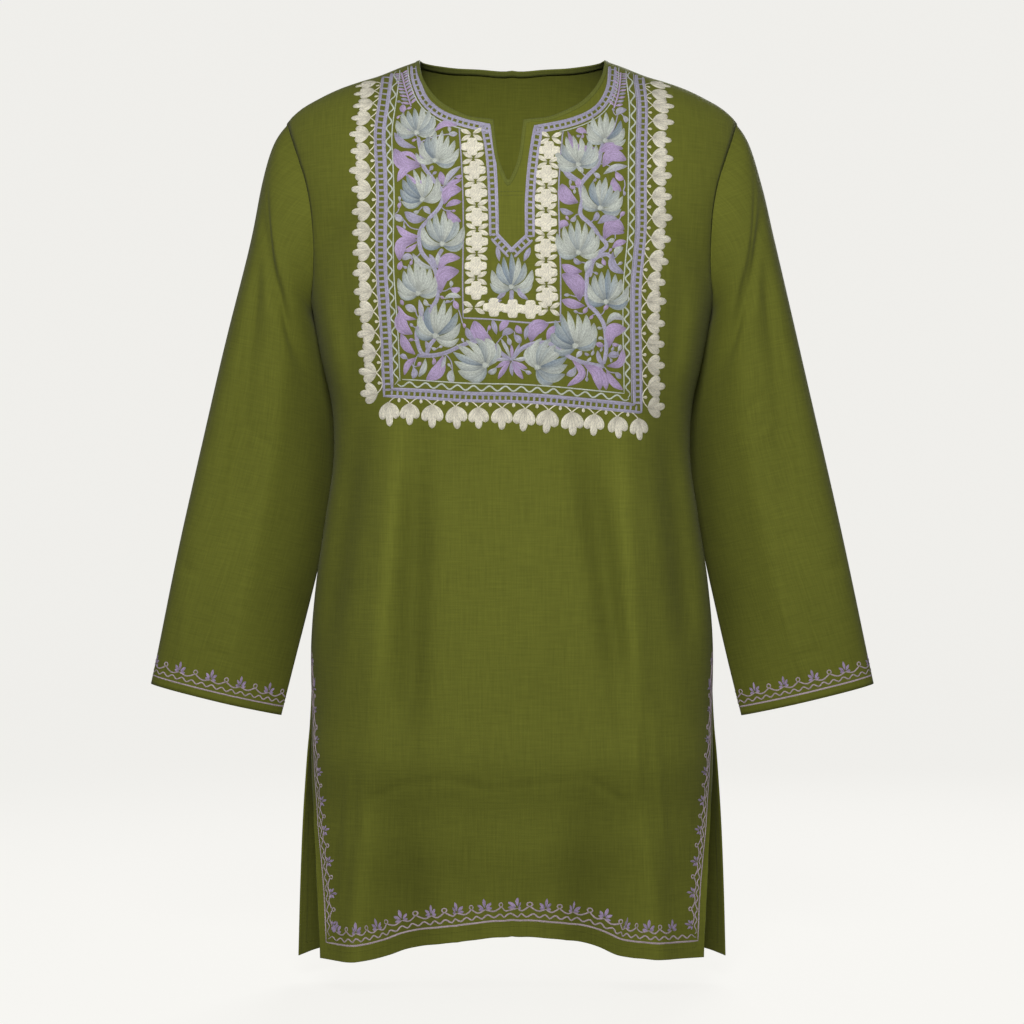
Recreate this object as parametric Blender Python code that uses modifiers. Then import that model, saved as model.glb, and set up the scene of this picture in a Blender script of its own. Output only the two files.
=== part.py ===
# Kurta tunic, worn shape with no wearer: open neck with a front slit, long loose sleeves,
# side slits from the hip down and a hem that arches up in front.
# Metres, +Z up, the front faces -Y. The origin is midway between the two neck points,
# the tops of the shoulder seams, where the wearer's shoulders carry the cloth.
# "drop" is the distance below the neck points.

import bpy
import numpy as np

# Cloth and seams
WALL = 0.0015
SEAM_GAP = 0.0009
SLEEVE_GAP = 0.0010
BAND_LIFT = 0.0003
BAND_WALL = 0.0010

# Neck, shoulder and armhole
NECK_HALF = 0.0920
NECK_DEPTH_FRONT = 0.0700
NECK_DROP_BACK = 0.0010
SLIT_HALF = 0.0146
SLIT_CENTRE = -0.0035
SLIT_BOTTOM = 0.1300
SHOULDER_HALF = 0.2255
SHOULDER_DROP = 0.0620
UNDERARM_DROP = 0.2440
SHOULDER_ROUND = 0.1400
SHOULDER_ARC = 0.1200
BAND_STEPS = (0.0025, 0.0075)

# Grid counts
YOKE_ROWS = 10
SKIRT_ROWS = 22
FRONT_HALF_COLUMNS = 15
BACK_HALF_COLUMNS = 11
SLEEVE_ROWS = 18

# Height of the shoulder line above or below the neck points; it runs on over the neck
# opening as an unseen ridge that sets how far the front and back stand apart there.
# |x|, drop
SHOULDER_LINE = np.array([
    (0.0000, -0.0300),
    (0.0500, -0.0200),
    (0.0920, 0.0000),
    (0.1125, 0.0075),
    (0.1325, 0.0155),
    (0.1525, 0.0215),
    (0.1725, 0.0285),
    (0.1925, 0.0380),
    (0.2125, 0.0500),
    (0.2255, 0.0620),
    (0.2400, 0.0780),
])

# Level sections of the front.
# drop, half width, depth at the centre, depth at the side edge, flatness, turn
FRONT = np.array([
    (0.000, 0.2450, 0.0900, 0.0000, 2.4, 2.4),
    (0.060, 0.2400, 0.0960, 0.0000, 2.4, 2.4),
    (0.120, 0.2300, 0.1080, 0.0000, 2.4, 2.4),
    (0.180, 0.2135, 0.1190, 0.0000, 2.4, 2.4),
    (0.244, 0.2005, 0.1240, 0.0000, 2.4, 2.4),
    (0.300, 0.1900, 0.1210, 0.0000, 2.4, 2.4),
    (0.345, 0.1800, 0.1155, 0.0000, 2.5, 2.4),
    (0.395, 0.1780, 0.1110, 0.0000, 2.6, 2.4),
    (0.455, 0.1860, 0.1100, 0.0000, 2.7, 2.4),
    (0.520, 0.1955, 0.1120, 0.0000, 2.8, 2.4),
    (0.580, 0.2005, 0.1150, 0.0000, 2.8, 2.4),
    (0.644, 0.1995, 0.1180, 0.0150, 2.8, 2.0),
    (0.700, 0.1985, 0.1200, 0.0350, 2.8, 1.6),
    (0.760, 0.1950, 0.1165, 0.0500, 2.7, 1.3),
    (0.820, 0.1905, 0.1140, 0.0640, 2.6, 1.2),
    (0.900, 0.1870, 0.1120, 0.0760, 2.6, 1.2),
])

# Level sections of the back, same columns.
BACK = np.array([
    (0.000, 0.2450, 0.1000, 0.0000, 2.4, 2.4),
    (0.060, 0.2400, 0.1000, 0.0000, 2.4, 2.4),
    (0.120, 0.2300, 0.1050, 0.0000, 2.4, 2.4),
    (0.180, 0.2135, 0.1080, 0.0000, 2.4, 2.4),
    (0.244, 0.2005, 0.1060, 0.0000, 2.4, 2.4),
    (0.300, 0.1900, 0.0990, 0.0000, 2.4, 2.4),
    (0.345, 0.1800, 0.0920, 0.0000, 2.5, 2.4),
    (0.395, 0.1780, 0.0880, 0.0000, 2.6, 2.4),
    (0.455, 0.1860, 0.0900, 0.0000, 2.7, 2.4),
    (0.520, 0.1955, 0.0960, 0.0000, 2.8, 2.4),
    (0.580, 0.2005, 0.1010, 0.0000, 2.8, 2.4),
    (0.644, 0.2015, 0.1030, 0.0080, 2.8, 2.0),
    (0.700, 0.2065, 0.1040, 0.0180, 2.8, 1.6),
    (0.760, 0.2110, 0.1040, 0.0280, 2.7, 1.4),
    (0.820, 0.2140, 0.1030, 0.0370, 2.6, 1.3),
    (0.910, 0.2170, 0.1010, 0.0470, 2.6, 1.3),
])

# Armhole edges: drop, half width in front, half width behind
ARMHOLE = np.array([
    (0.0620, 0.2255, 0.2255),
    (0.0800, 0.2195, 0.2215),
    (0.1000, 0.2125, 0.2165),
    (0.1220, 0.2050, 0.2115),
    (0.1500, 0.1990, 0.2065),
    (0.1800, 0.1965, 0.2030),
    (0.2100, 0.1965, 0.2005),
    (0.2300, 0.1985, 0.2000),
    (0.2440, 0.2005, 0.2005),
])

# Hem lines: x, drop
HEM_FRONT = np.array([
    (-0.190, 0.8865),
    (-0.155, 0.8880),
    (-0.122, 0.8825),
    (-0.095, 0.8735),
    (-0.050, 0.8665),
    (0.000, 0.8610),
    (0.045, 0.8645),
    (0.080, 0.8715),
    (0.100, 0.8800),
    (0.130, 0.8840),
    (0.190, 0.8860),
])
HEM_BACK = np.array([
    (-0.220, 0.9015),
    (-0.197, 0.8950),
    (-0.150, 0.8885),
    (0.000, 0.8820),
    (0.150, 0.8885),
    (0.197, 0.8950),
    (0.220, 0.9015),
])

# Largest folds, as soft troughs and ridges along a line.
# x and drop at the top, x and drop at the bottom, half width, height out of the cloth
FRONT_FOLDS = np.array([
    (-0.0910, 0.390, -0.0990, 0.690, 0.012, -0.0045),
    (-0.1115, 0.370, -0.1355, 0.650, 0.016, 0.0040),
    (-0.1500, 0.370, -0.1830, 0.560, 0.014, -0.0050),
    (0.0700, 0.390, 0.1100, 0.620, 0.014, -0.0045),
    (0.1090, 0.370, 0.1200, 0.690, 0.016, 0.0040),
    (0.1500, 0.370, 0.1740, 0.550, 0.014, -0.0050),
    (-0.1050, 0.760, -0.1050, 0.930, 0.030, -0.0070),
    (0.0760, 0.760, 0.0760, 0.930, 0.030, -0.0060),
    (-0.1450, 0.740, -0.1600, 0.930, 0.014, 0.0040),
    (0.1300, 0.740, 0.1500, 0.930, 0.018, 0.0040),
    (-0.1500, 0.150, -0.1800, 0.185, 0.014, -0.0040),
    (-0.1850, 0.240, -0.1700, 0.330, 0.012, 0.0035),
    (0.1830, 0.240, 0.1700, 0.330, 0.012, 0.0035),
])
BACK_FOLDS = np.array([
    (-0.0600, 0.400, -0.0850, 0.700, 0.020, -0.0050),
    (0.0700, 0.380, 0.0600, 0.720, 0.022, -0.0050),
    (0.0050, 0.480, -0.0100, 0.900, 0.026, 0.0050),
    (-0.1350, 0.420, -0.1500, 0.800, 0.020, 0.0045),
    (0.1300, 0.400, 0.1550, 0.780, 0.020, 0.0045),
    (0.0900, 0.760, 0.1000, 0.930, 0.026, -0.0060),
    (-0.1000, 0.760, -0.1100, 0.930, 0.028, -0.0060),
])

# Cross folds that bend a whole panel: drop, half width, height out of the cloth
FRONT_BENDS = np.array([
    (0.690, 0.022, 0.0030),
    (0.740, 0.028, -0.0035),
])
BACK_BENDS = np.array([
    (0.385, 0.030, -0.0030),
    (0.450, 0.030, 0.0025),
])

# Right sleeve, rings from the armhole to the cuff.
# outer x, outer drop, inner x, inner drop, depth in front, depth behind, tuck, set back
SLEEVE = np.array([
    (0.2265, 0.0620, 0.2015, 0.2440, 0.0600, 0.0600, 0.00, 0.000),
    (0.2385, 0.0860, 0.2045, 0.2500, 0.0640, 0.0640, 0.02, 0.002),
    (0.2500, 0.1270, 0.2035, 0.2600, 0.0650, 0.0670, 0.06, 0.005),
    (0.2600, 0.1720, 0.1995, 0.2760, 0.0640, 0.0680, 0.12, 0.008),
    (0.2715, 0.2200, 0.1935, 0.3010, 0.0610, 0.0670, 0.20, 0.011),
    (0.2845, 0.2740, 0.1850, 0.3380, 0.0570, 0.0640, 0.26, 0.014),
    (0.2980, 0.3320, 0.1800, 0.3860, 0.0530, 0.0590, 0.30, 0.016),
    (0.3115, 0.3920, 0.1835, 0.4370, 0.0490, 0.0530, 0.32, 0.016),
    (0.3250, 0.4530, 0.1925, 0.4910, 0.0450, 0.0470, 0.32, 0.014),
    (0.3385, 0.5140, 0.2050, 0.5480, 0.0410, 0.0410, 0.30, 0.011),
    (0.3510, 0.5700, 0.2180, 0.6030, 0.0360, 0.0350, 0.26, 0.008),
    (0.3625, 0.6220, 0.2310, 0.6550, 0.0300, 0.0290, 0.22, 0.006),
])
SLEEVE_SQUARE = 2.3

# Sleeve folds: ring at the top, angle there, ring at the bottom, angle there,
# half width in rings and radians together, height. Angle 0 is outer, pi is inner.
SLEEVE_FOLDS = np.array([
    (3.0, 0.95, 8.5, 1.30, 0.30, -0.0050),
    (2.5, 0.95, 4.5, 2.20, 0.28, -0.0040),
    (2.0, -1.00, 7.0, -1.40, 0.32, -0.0050),
    (7.0, -1.80, 10.5, -1.10, 0.34, -0.0035),
])

# Colours
GREEN = (0.117, 0.127, 0.021, 1.0)
GREEN_BAND = (0.135, 0.145, 0.028, 1.0)


def smooth(knots, values, at):
    """Curve through table rows: on each step a cubic whose end slopes come from the
    rows on either side."""
    knots = np.asarray(knots, float)
    values = np.asarray(values, float)
    slope = np.gradient(values, knots)
    at = np.clip(at, knots[0], knots[-1])
    i = np.clip(np.searchsorted(knots, at) - 1, 0, len(knots) - 2)
    step = knots[i + 1] - knots[i]
    t = (at - knots[i]) / step
    start = values[i] * (1 + 2 * t) * (1 - t) ** 2 + step * slope[i] * t * (1 - t) ** 2
    end = values[i + 1] * t * t * (3 - 2 * t) + step * slope[i + 1] * t * t * (t - 1)
    return start + end


def seam_drop(x):
    """Drop of the shoulder line at x."""
    return smooth(SHOULDER_LINE[:, 0], SHOULDER_LINE[:, 1], np.abs(x))


def fold_height(x, drop, folds):
    """Sum of soft folds: a bell across each line, faded at both of its ends."""
    total = np.zeros(np.broadcast(x, drop).shape)
    for x0, d0, x1, d1, width, height in folds:
        run = np.array((x1 - x0, d1 - d0))
        length = np.hypot(*run)
        along = ((x - x0) * run[0] + (drop - d0) * run[1]) / length ** 2
        across = ((x - x0) * run[1] - (drop - d0) * run[0]) / length
        inside = np.clip(along, 0, 1)
        beyond = (along - inside) * length
        total += height * np.exp(-(across / width) ** 2 - (beyond / (1.6 * width)) ** 2)
    return total


def panel_depth(x, drop, sections, folds, bends, side):
    """Y of the panel at a place seen from the front. Each level is a flattened oval,
    centre depth times (1 - |x / half width| ^ flatness) ^ (1 / turn) past the edge
    depth; near the shoulder line it is drawn in along a quarter oval of height
    SHOULDER_ROUND, so the panel arrives level at the seam. Folds are added outwards."""
    half, centre, edge, flat, turn = (
        smooth(sections[:, 0], sections[:, k], drop) for k in range(1, 6))
    edge = np.maximum(edge, 0)
    across = np.clip(np.abs(x) / half, 0, 1)
    oval = (1 - across ** flat) ** (1 / turn)
    rise = 1 - np.clip((drop - seam_drop(x)) / SHOULDER_ROUND, 0, 1)
    round_in = np.sqrt(1 - rise ** 2)
    bump = fold_height(x, drop, folds)
    for level, width, height in bends:
        bump = bump + height * np.exp(-((drop - level) / width) ** 2)
    bump = bump * np.clip(3 * oval, 0, 1) * round_in
    depth = (edge + (centre - edge) * oval) * round_in + bump
    return side * (depth + SEAM_GAP / 2)


def neck_edge_front(columns):
    """Top edge of the front from its middle out to one side, as (x, drop) rows for
    the left and the right: slit side, quarter oval neckline, shoulder seam."""
    sides = []
    for sign in (-1, 1):
        t = np.array((1.0, 0.93, 0.6))
        slit = np.stack((SLIT_CENTRE + sign * SLIT_HALF * (1 - t ** 1.8) ** 0.75,
                         NECK_DEPTH_FRONT + (SLIT_BOTTOM - NECK_DEPTH_FRONT) * t), 1)
        corner = SLIT_CENTRE + sign * SLIT_HALF
        turn = np.radians((90, 70, 50, 33, 18, 7, 1.5, 0))
        reach = sign * NECK_HALF - corner
        neck = np.stack((corner + reach * np.cos(turn), NECK_DEPTH_FRONT * np.sin(turn)), 1)
        out = np.linspace(NECK_HALF, SHOULDER_HALF, columns - 9)[1:]
        seam = np.stack((sign * out, seam_drop(out)), 1)
        sides.append(np.concatenate((slit, neck, seam)))
    return np.concatenate((sides[0][:0:-1], sides[1]))


def neck_edge_back(columns):
    """Top edge of the back: a shallow neckline, then the shoulder seams."""
    inner = columns - 6
    across = NECK_HALF * np.sin(np.linspace(0, np.pi / 2, inner + 1))
    neck = np.stack((across, NECK_DROP_BACK * (1 - (across / NECK_HALF) ** 2)), 1)
    out = np.linspace(NECK_HALF, SHOULDER_HALF, 7)[1:]
    seam = np.stack((out, seam_drop(out)), 1)
    half = np.concatenate((neck, seam))
    return np.concatenate((half[:0:-1] * (-1, 1), half))


def unroll(plan):
    """(x, drop) to (x, way down the cloth from the shoulder line). The shoulder is a
    quarter oval, so the way is SHOULDER_ARC times the angle turned, and straight on
    below it."""
    below = (plan[..., 1] - seam_drop(plan[..., 0])) / SHOULDER_ROUND
    turned = np.where(below < 1, np.arccos(np.clip(1 - below, 0, 1)), np.pi / 2 + below - 1)
    return np.stack((plan[..., 0], SHOULDER_ARC * turned), -1)


def roll(flat):
    """The way back from unroll."""
    turned = flat[..., 1] / SHOULDER_ARC
    below = np.where(turned < np.pi / 2, 1 - np.cos(turned), 1 + turned - np.pi / 2)
    return np.stack((flat[..., 0], seam_drop(flat[..., 0]) + SHOULDER_ROUND * below), -1)


def inset(edge, distance):
    """The edge line moved into the cloth by a distance, square to its own run, and
    mitred where it turns. The two ends, on the armholes, go straight down."""
    run = np.diff(edge, axis=0)
    run /= np.linalg.norm(run, axis=1, keepdims=True)
    square = np.stack((-run[:, 1], run[:, 0]), 1)
    before = np.concatenate((square[:1], square))
    after = np.concatenate((square, square[-1:]))
    inward = (before + after) / (1 + np.sum(before * after, 1, keepdims=True))
    inward[[0, -1]] = (0, 1)
    return edge + inward * distance


def panel_plan(edge, arm_column, sections, hem, columns):
    """Plan of a panel as (x, drop): rows that follow the top edge, then rows that ease
    into a level line at the underarm, then level rows down to the hem."""
    share = np.linspace(-1, 1, 2 * columns + 1)
    share = np.sin(1.4 * share) / np.sin(1.4)
    half_under = smooth(sections[:, 0], sections[:, 1], UNDERARM_DROP)
    level = np.stack((share * half_under, np.full(len(share), UNDERARM_DROP)), 1)
    flat_level = unroll(level)
    flat_edge = unroll(edge)
    rows = [flat_edge] + [inset(flat_edge, step) for step in BAND_STEPS]
    last = rows[-1]
    for k in range(1, YOKE_ROWS + 1):
        t = 1 - (1 - k / YOKE_ROWS) ** 1.5
        rows.append(last * (1 - t) + flat_level * t)
    plan = roll(np.array(rows))
    arm = smooth(ARMHOLE[:, 0], ARMHOLE[:, arm_column], plan[:, -1, 1])
    pull = (arm / plan[:, -1, 0])[:, None]
    side = np.clip((np.abs(share) - 0.55) / 0.45, 0, 1) ** 2
    plan[..., 0] *= 1 + (pull - 1) * side
    skirt = []
    for k in range(1, SKIRT_ROWS + 1):
        t = k / SKIRT_ROWS
        foot = smooth(hem[:, 0], hem[:, 1], share * sections[-1, 1])
        drop = UNDERARM_DROP + t * (foot - UNDERARM_DROP)
        x = share * smooth(sections[:, 0], sections[:, 1], drop)
        skirt.append(np.stack((x, drop), 1))
    return np.concatenate((plan, np.array(skirt)))


def lift(plan, sections, folds, bends, side):
    """The plan's points set at their depth, as a grid of XYZ."""
    y = panel_depth(plan[..., 0], plan[..., 1], sections, folds, bends, side)
    return np.stack((plan[..., 0], y, -plan[..., 1]), -1)


def grid_normals(grid, closed=False):
    """Unit normals of a point grid, from the cross product of its two runs."""
    if closed:
        wrapped = np.concatenate((grid[:, -1:], grid, grid[:, :1]), 1)
        across = np.gradient(wrapped, axis=1)[:, 1:-1]
    else:
        across = np.gradient(grid, axis=1)
    down = np.gradient(grid, axis=0)
    normal = np.cross(across, down)
    return normal / np.linalg.norm(normal, axis=-1, keepdims=True)


def sleeve_rings(front_edge, back_edge):
    """Rings of the right sleeve. Ring 0 follows the armhole edges of front and back,
    one gap further out. The others are flattened ovals in a plane through an outer and
    an inner line, with the front inner corner tucked towards the outer line and the
    inner side set back beside the body."""
    count = len(front_edge) - 1
    angle = np.pi * np.arange(count + 1) / count
    angle = np.concatenate((angle, 2 * np.pi - angle[-2:0:-1]))
    arm = np.concatenate((front_edge, back_edge[-2:0:-1])) + (SLEEVE_GAP, 0, 0)
    arm[[0, count], 1] = 0
    t = np.linspace(0, len(SLEEVE) - 1, SLEEVE_ROWS + 1)[:, None]
    at = np.arange(len(SLEEVE))
    xo, do, xi, di, front, back, tuck, behind = (smooth(at, SLEEVE[:, k], t) for k in range(8))
    c = np.cos(angle)
    s = np.sin(angle)
    run = np.sign(c) * np.abs(c) ** (2 / SLEEVE_SQUARE)
    deep = np.sign(s) * np.abs(s) ** (2 / SLEEVE_SQUARE)
    run = run + tuck * np.clip(-np.sin(2 * angle), 0, 1) * (angle < np.pi)
    x = (xo + xi) / 2 + run * (xo - xi) / 2
    drop = (do + di) / 2 + run * (do - di) / 2
    y = np.where(deep > 0, -front * deep, -back * deep) + behind * (1.2 - run)
    rings = np.stack((x, y, -drop), -1)
    turned = np.where(angle > np.pi, angle - 2 * np.pi, angle)
    bump = fold_height(t + 0 * turned, turned + 0 * t, SLEEVE_FOLDS)
    rings = rings + grid_normals(rings, closed=True) * (bump * np.clip(t / 2, 0, 1))[..., None]
    own = rings[0]
    ease = (1 - np.clip(t / 3.0, 0, 1)) ** 2
    return rings + (arm - own) * ease[..., None]


def grid_mesh(name, grid, colour, wall, closed=False, flip=False, outward=-1.0):
    """Object from a point grid: quads, then a Solidify for the wall."""
    rows, columns = grid.shape[:2]
    index = np.arange(rows * columns).reshape(rows, columns)
    if closed:
        index = np.concatenate((index, index[:, :1]), 1)
    a = index[:-1, :-1]
    b = index[:-1, 1:]
    c = index[1:, 1:]
    d = index[1:, :-1]
    quads = np.stack((a, d, c, b), -1).reshape(-1, 4)
    if flip:
        quads = quads[:, ::-1]
    mesh = bpy.data.meshes.new(name)
    mesh.from_pydata(grid.reshape(-1, 3).tolist(), [], quads.tolist())
    mesh.update()
    mesh.shade_smooth()
    mesh.set_sharp_from_angle(angle=np.radians(50))
    thing = bpy.data.objects.new(name, mesh)
    garment.objects.link(thing)
    mesh.materials.append(cloth_material(name, colour))
    shell = thing.modifiers.new("wall", "SOLIDIFY")
    shell.thickness = wall
    shell.offset = outward
    shell.use_even_offset = True
    shell.thickness_clamp = 2.0
    return thing


def cloth_material(name, colour):
    """Plain woven cotton: no metal, rough all over."""
    material = bpy.data.materials.new(name)
    material.use_nodes = True
    surface = material.node_tree.nodes["Principled BSDF"]
    surface.inputs["Base Color"].default_value = colour
    surface.inputs["Roughness"].default_value = 0.85
    surface.inputs["Metallic"].default_value = 0.0
    return material


for old in list(bpy.data.objects):
    bpy.data.objects.remove(old, do_unlink=True)
garment = bpy.data.collections.new("kurta tunic")
bpy.context.scene.collection.children.link(garment)

# Front
front_edge = neck_edge_front(FRONT_HALF_COLUMNS)
front_plan = panel_plan(front_edge, 1, FRONT, HEM_FRONT, FRONT_HALF_COLUMNS)
front_grid = lift(front_plan, FRONT, FRONT_FOLDS, FRONT_BENDS, -1)
grid_mesh("front", front_grid, GREEN, WALL)

# Back
back_edge = neck_edge_back(BACK_HALF_COLUMNS)
back_plan = panel_plan(back_edge, 2, BACK, HEM_BACK, BACK_HALF_COLUMNS)
back_grid = lift(back_plan, BACK, BACK_FOLDS, BACK_BENDS, 1)
grid_mesh("back", back_grid, GREEN, WALL, flip=True)

# Sleeves
arm_rows = len(BAND_STEPS) + YOKE_ROWS + 1
sleeve_grid = sleeve_rings(front_grid[:arm_rows, -1], back_grid[:arm_rows, -1])
grid_mesh("sleeve_right", sleeve_grid, GREEN, WALL, closed=True, flip=True)
grid_mesh("sleeve_left", sleeve_grid * (-1, 1, 1), GREEN, WALL, closed=True)

# Turned band around the front neckline and the slit, lying on the front
first = FRONT_HALF_COLUMNS - 10
last = FRONT_HALF_COLUMNS + 11
band_rows = len(BAND_STEPS) + 1
front_normals = -grid_normals(front_grid)
band = front_grid + front_normals * BAND_LIFT
band_grid = band[:band_rows, first:last]
grid_mesh("neck_band_front", band_grid, GREEN_BAND, BAND_WALL, outward=1.0)

# Neck facing inside the back
first = BACK_HALF_COLUMNS - 5
last = BACK_HALF_COLUMNS + 6
back_normals = grid_normals(back_grid)
facing = back_grid - back_normals * (WALL + BAND_LIFT)
facing_grid = facing[:band_rows, first:last]
grid_mesh("neck_facing_back", facing_grid, GREEN_BAND, BAND_WALL, flip=True)
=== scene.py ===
# %% [markdown]
# # A kurta tunic, worn but empty
#
# The piece is a long cotton tunic with a square of crewel embroidery on the chest, fine
# trims at the hem, the side slits and the cuffs, and nobody inside. The imported model gives
# six rigid shells. Here each of them is made again as thin cloth on the same form, with
# finer folds, a weave, turned edges and raised thread work on top.
#
# The cloth could be draped by a simulation, but a simulated fall would leave the form that
# the solids fix. So every surface is a formula: a table of level sections, a table of soft
# folds, and numpy grids that follow both.

import bpy
import numpy as np
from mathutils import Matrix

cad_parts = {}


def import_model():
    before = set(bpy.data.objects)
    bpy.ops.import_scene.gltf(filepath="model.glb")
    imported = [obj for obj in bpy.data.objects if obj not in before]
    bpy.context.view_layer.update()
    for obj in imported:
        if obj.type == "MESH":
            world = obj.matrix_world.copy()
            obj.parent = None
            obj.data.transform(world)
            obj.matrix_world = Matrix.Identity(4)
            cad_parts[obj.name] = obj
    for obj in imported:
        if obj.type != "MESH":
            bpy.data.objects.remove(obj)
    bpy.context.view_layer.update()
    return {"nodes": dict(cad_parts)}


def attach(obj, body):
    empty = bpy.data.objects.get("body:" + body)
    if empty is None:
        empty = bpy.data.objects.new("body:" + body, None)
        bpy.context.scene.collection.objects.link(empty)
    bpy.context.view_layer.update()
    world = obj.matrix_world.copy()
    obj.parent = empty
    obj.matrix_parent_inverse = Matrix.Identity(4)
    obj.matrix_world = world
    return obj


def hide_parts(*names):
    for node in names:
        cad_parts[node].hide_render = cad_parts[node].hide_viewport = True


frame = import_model()
print("nodes:", sorted(frame["nodes"]))

# %% [markdown]
# ## Camera, floor and light
#
# The picture is taken level, square to the front, from about three metres. The lens is
# chosen so that 1.024 m just fit into its width at the depth of the side seams.

# %% Camera
CAMERA_DISTANCE = 3.2
CAMERA_DROP = 0.451
PICTURE = 1.024
SENSOR = 36.0

camera_data = bpy.data.cameras.new("camera")
camera_data.sensor_width = SENSOR
camera_data.lens = SENSOR * CAMERA_DISTANCE / PICTURE
camera = bpy.data.objects.new("camera", camera_data)
camera.location = (0, -CAMERA_DISTANCE, -CAMERA_DROP)
camera.rotation_euler = (np.pi / 2, 0, 0)
bpy.context.scene.collection.objects.link(camera)
bpy.context.scene.camera = camera
print("lens:", round(camera_data.lens, 1), "mm")

# %% [markdown]
# The floor is a wide shallow bowl turned from one profile: flat under the tunic, then
# curving up on all sides, so that no view shows an edge or a horizon.

# %% Floor
FLOOR_DROP = 0.9250
FLOOR_FLAT = 5.5
BOWL_ROUND = 3.0
BOWL_TOP = 4.5
BOWL_SIDES = 96


def grid_faces(rows, columns, closed=False, flip=False):
    """Corner numbers of the quads of a grid, row by row; closed joins the last column
    to the first, and flip turns the faces over."""
    index = np.arange(rows * columns).reshape(rows, columns)
    if closed:
        index = np.concatenate((index, index[:, :1]), 1)
    quads = np.stack((index[:-1, :-1], index[1:, :-1], index[1:, 1:], index[:-1, 1:]), -1)
    quads = quads.reshape(-1, 4)
    return quads[:, ::-1] if flip else quads


def mesh_object(name, points, quads):
    """Object at the origin with its place in its mesh, smooth shaded."""
    mesh = bpy.data.meshes.new(name)
    mesh.from_pydata(points.reshape(-1, 3), [], quads)
    mesh.update()
    mesh.shade_smooth()
    thing = bpy.data.objects.new(name, mesh)
    bpy.context.scene.collection.objects.link(thing)
    return thing


bend = np.linspace(0, np.pi / 2, 13)
curved = FLOOR_FLAT + BOWL_ROUND * np.sin(bend)
radius = np.concatenate(([1e-4, 1.5], curved, curved[-1:]))
height = np.concatenate(([0, 0], BOWL_ROUND * (1 - np.cos(bend)), [BOWL_ROUND + BOWL_TOP]))
turn = 2 * np.pi * np.arange(BOWL_SIDES) / BOWL_SIDES
bowl = np.stack((
    radius[:, None] * np.cos(turn),
    radius[:, None] * np.sin(turn),
    height[:, None] - FLOOR_DROP + 0 * turn,
), -1)
floor = mesh_object("floor", bowl, grid_faces(len(radius), len(turn), closed=True))
floor.visible_diffuse = False
floor.visible_shadow = False
print("floor at", -FLOOR_DROP)

# %% [markdown]
# ## Materials from expressions
#
# A material is a sheet of nodes. Written out by hand, shader maths is long, so a small
# class wraps a socket and lets Python's own signs add the Math nodes: `1 - mask * 0.3`
# becomes two nodes. Any other node comes from one method, `add`.

# %% Sockets that do sums


class Wire:
    """A node's socket. Sums on it add Math nodes to its material."""

    def __init__(self, finish, socket):
        self.finish = finish
        self.socket = socket

    def math(self, operation, *values):
        sockets = dict(enumerate(values))
        return self.finish.add("ShaderNodeMath", {"operation": operation}, sockets)

    def __abs__(self):
        return self.math("ABSOLUTE", self)

    def sin(self):
        return self.math("SINE", self)

    def fract(self):
        return self.math("FRACT", self)

    def floor(self):
        return self.math("FLOOR", self)

    def below(self, edge, soft):
        """1 where the value is under the edge, easing to 0 over a soft width."""
        settings = {"interpolation_type": "SMOOTHSTEP"}
        sockets = {"Value": self, "From Min": edge - soft, "From Max": edge + soft,
                   "To Min": 1.0, "To Max": 0.0}
        return self.finish.add("ShaderNodeMapRange", settings, sockets)


# a sign works with the wire before it and with the wire behind it
for sign, operation in (
        ("add", "ADD"), ("sub", "SUBTRACT"), ("mul", "MULTIPLY"), ("truediv", "DIVIDE")):
    def before(self, other, operation=operation):
        return self.math(operation, self, other)

    def behind(self, other, operation=operation):
        return self.math(operation, other, self)

    setattr(Wire, f"__{sign}__", before)
    setattr(Wire, f"__r{sign}__", behind)


class Finish:
    """One material. `add` makes any node: its type, its settings, then the values or
    wires of its sockets; it gives back the first output, or the one asked for."""

    def __init__(self, name):
        self.material = bpy.data.materials.new(name)
        self.material.use_nodes = True
        self.nodes = self.material.node_tree.nodes
        self.links = self.material.node_tree.links
        self.surface = self.nodes["Principled BSDF"]

    def plug(self, socket, value):
        if isinstance(value, Wire):
            self.links.new(value.socket, socket)
        else:
            socket.default_value = value

    def add(self, kind, settings=None, sockets=None, output=0):
        node = self.nodes.new(kind)
        for key, value in (settings or {}).items():
            setattr(node, key, value)
        for key, value in (sockets or {}).items():
            self.plug(node.inputs[key], value)
        return Wire(self, node.outputs[output])

    def set(self, **values):
        for key, value in values.items():
            self.plug(self.surface.inputs[key.replace("_", " ")], value)

    def vector(self, x, y, z=0.0):
        return self.add("ShaderNodeCombineXYZ", None, {"X": x, "Y": y, "Z": z})

    def part(self, vector, axis):
        return self.add("ShaderNodeSeparateXYZ", None, {0: vector}, axis)

    def noise(self, vector, scale=1.0, detail=2.0):
        sockets = {"Vector": vector, "Scale": scale, "Detail": detail}
        return self.add("ShaderNodeTexNoise", {"noise_dimensions": "3D"}, sockets)

    def tinted(self, colour, factor):
        """A colour made lighter or darker by a factor, through Vector Math."""
        settings = {"operation": "SCALE"}
        return self.add("ShaderNodeVectorMath", settings, {"Vector": colour, "Scale": factor})

    def bump(self, height):
        sockets = {"Height": height, "Strength": 1.0, "Distance": 1.0}
        self.set(Normal=self.add("ShaderNodeBump", None, sockets))


print("wires ready")

# %% Floor finish
paper = Finish("studio paper")
spot = paper.add("ShaderNodeTexCoord", None, None, "Object")
grain = paper.noise(spot, 220.0)
paper.set(Base_Color=paper.tinted((0.090, 0.089, 0.086), 0.99 + grain * 0.02), Roughness=0.95)
paper.set(Emission_Color=(1.0, 0.990, 0.955, 1), Emission_Strength=0.86, Specular_IOR_Level=0)
floor.data.materials.append(paper.material)
print("floor finish:", paper.material.name)

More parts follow.
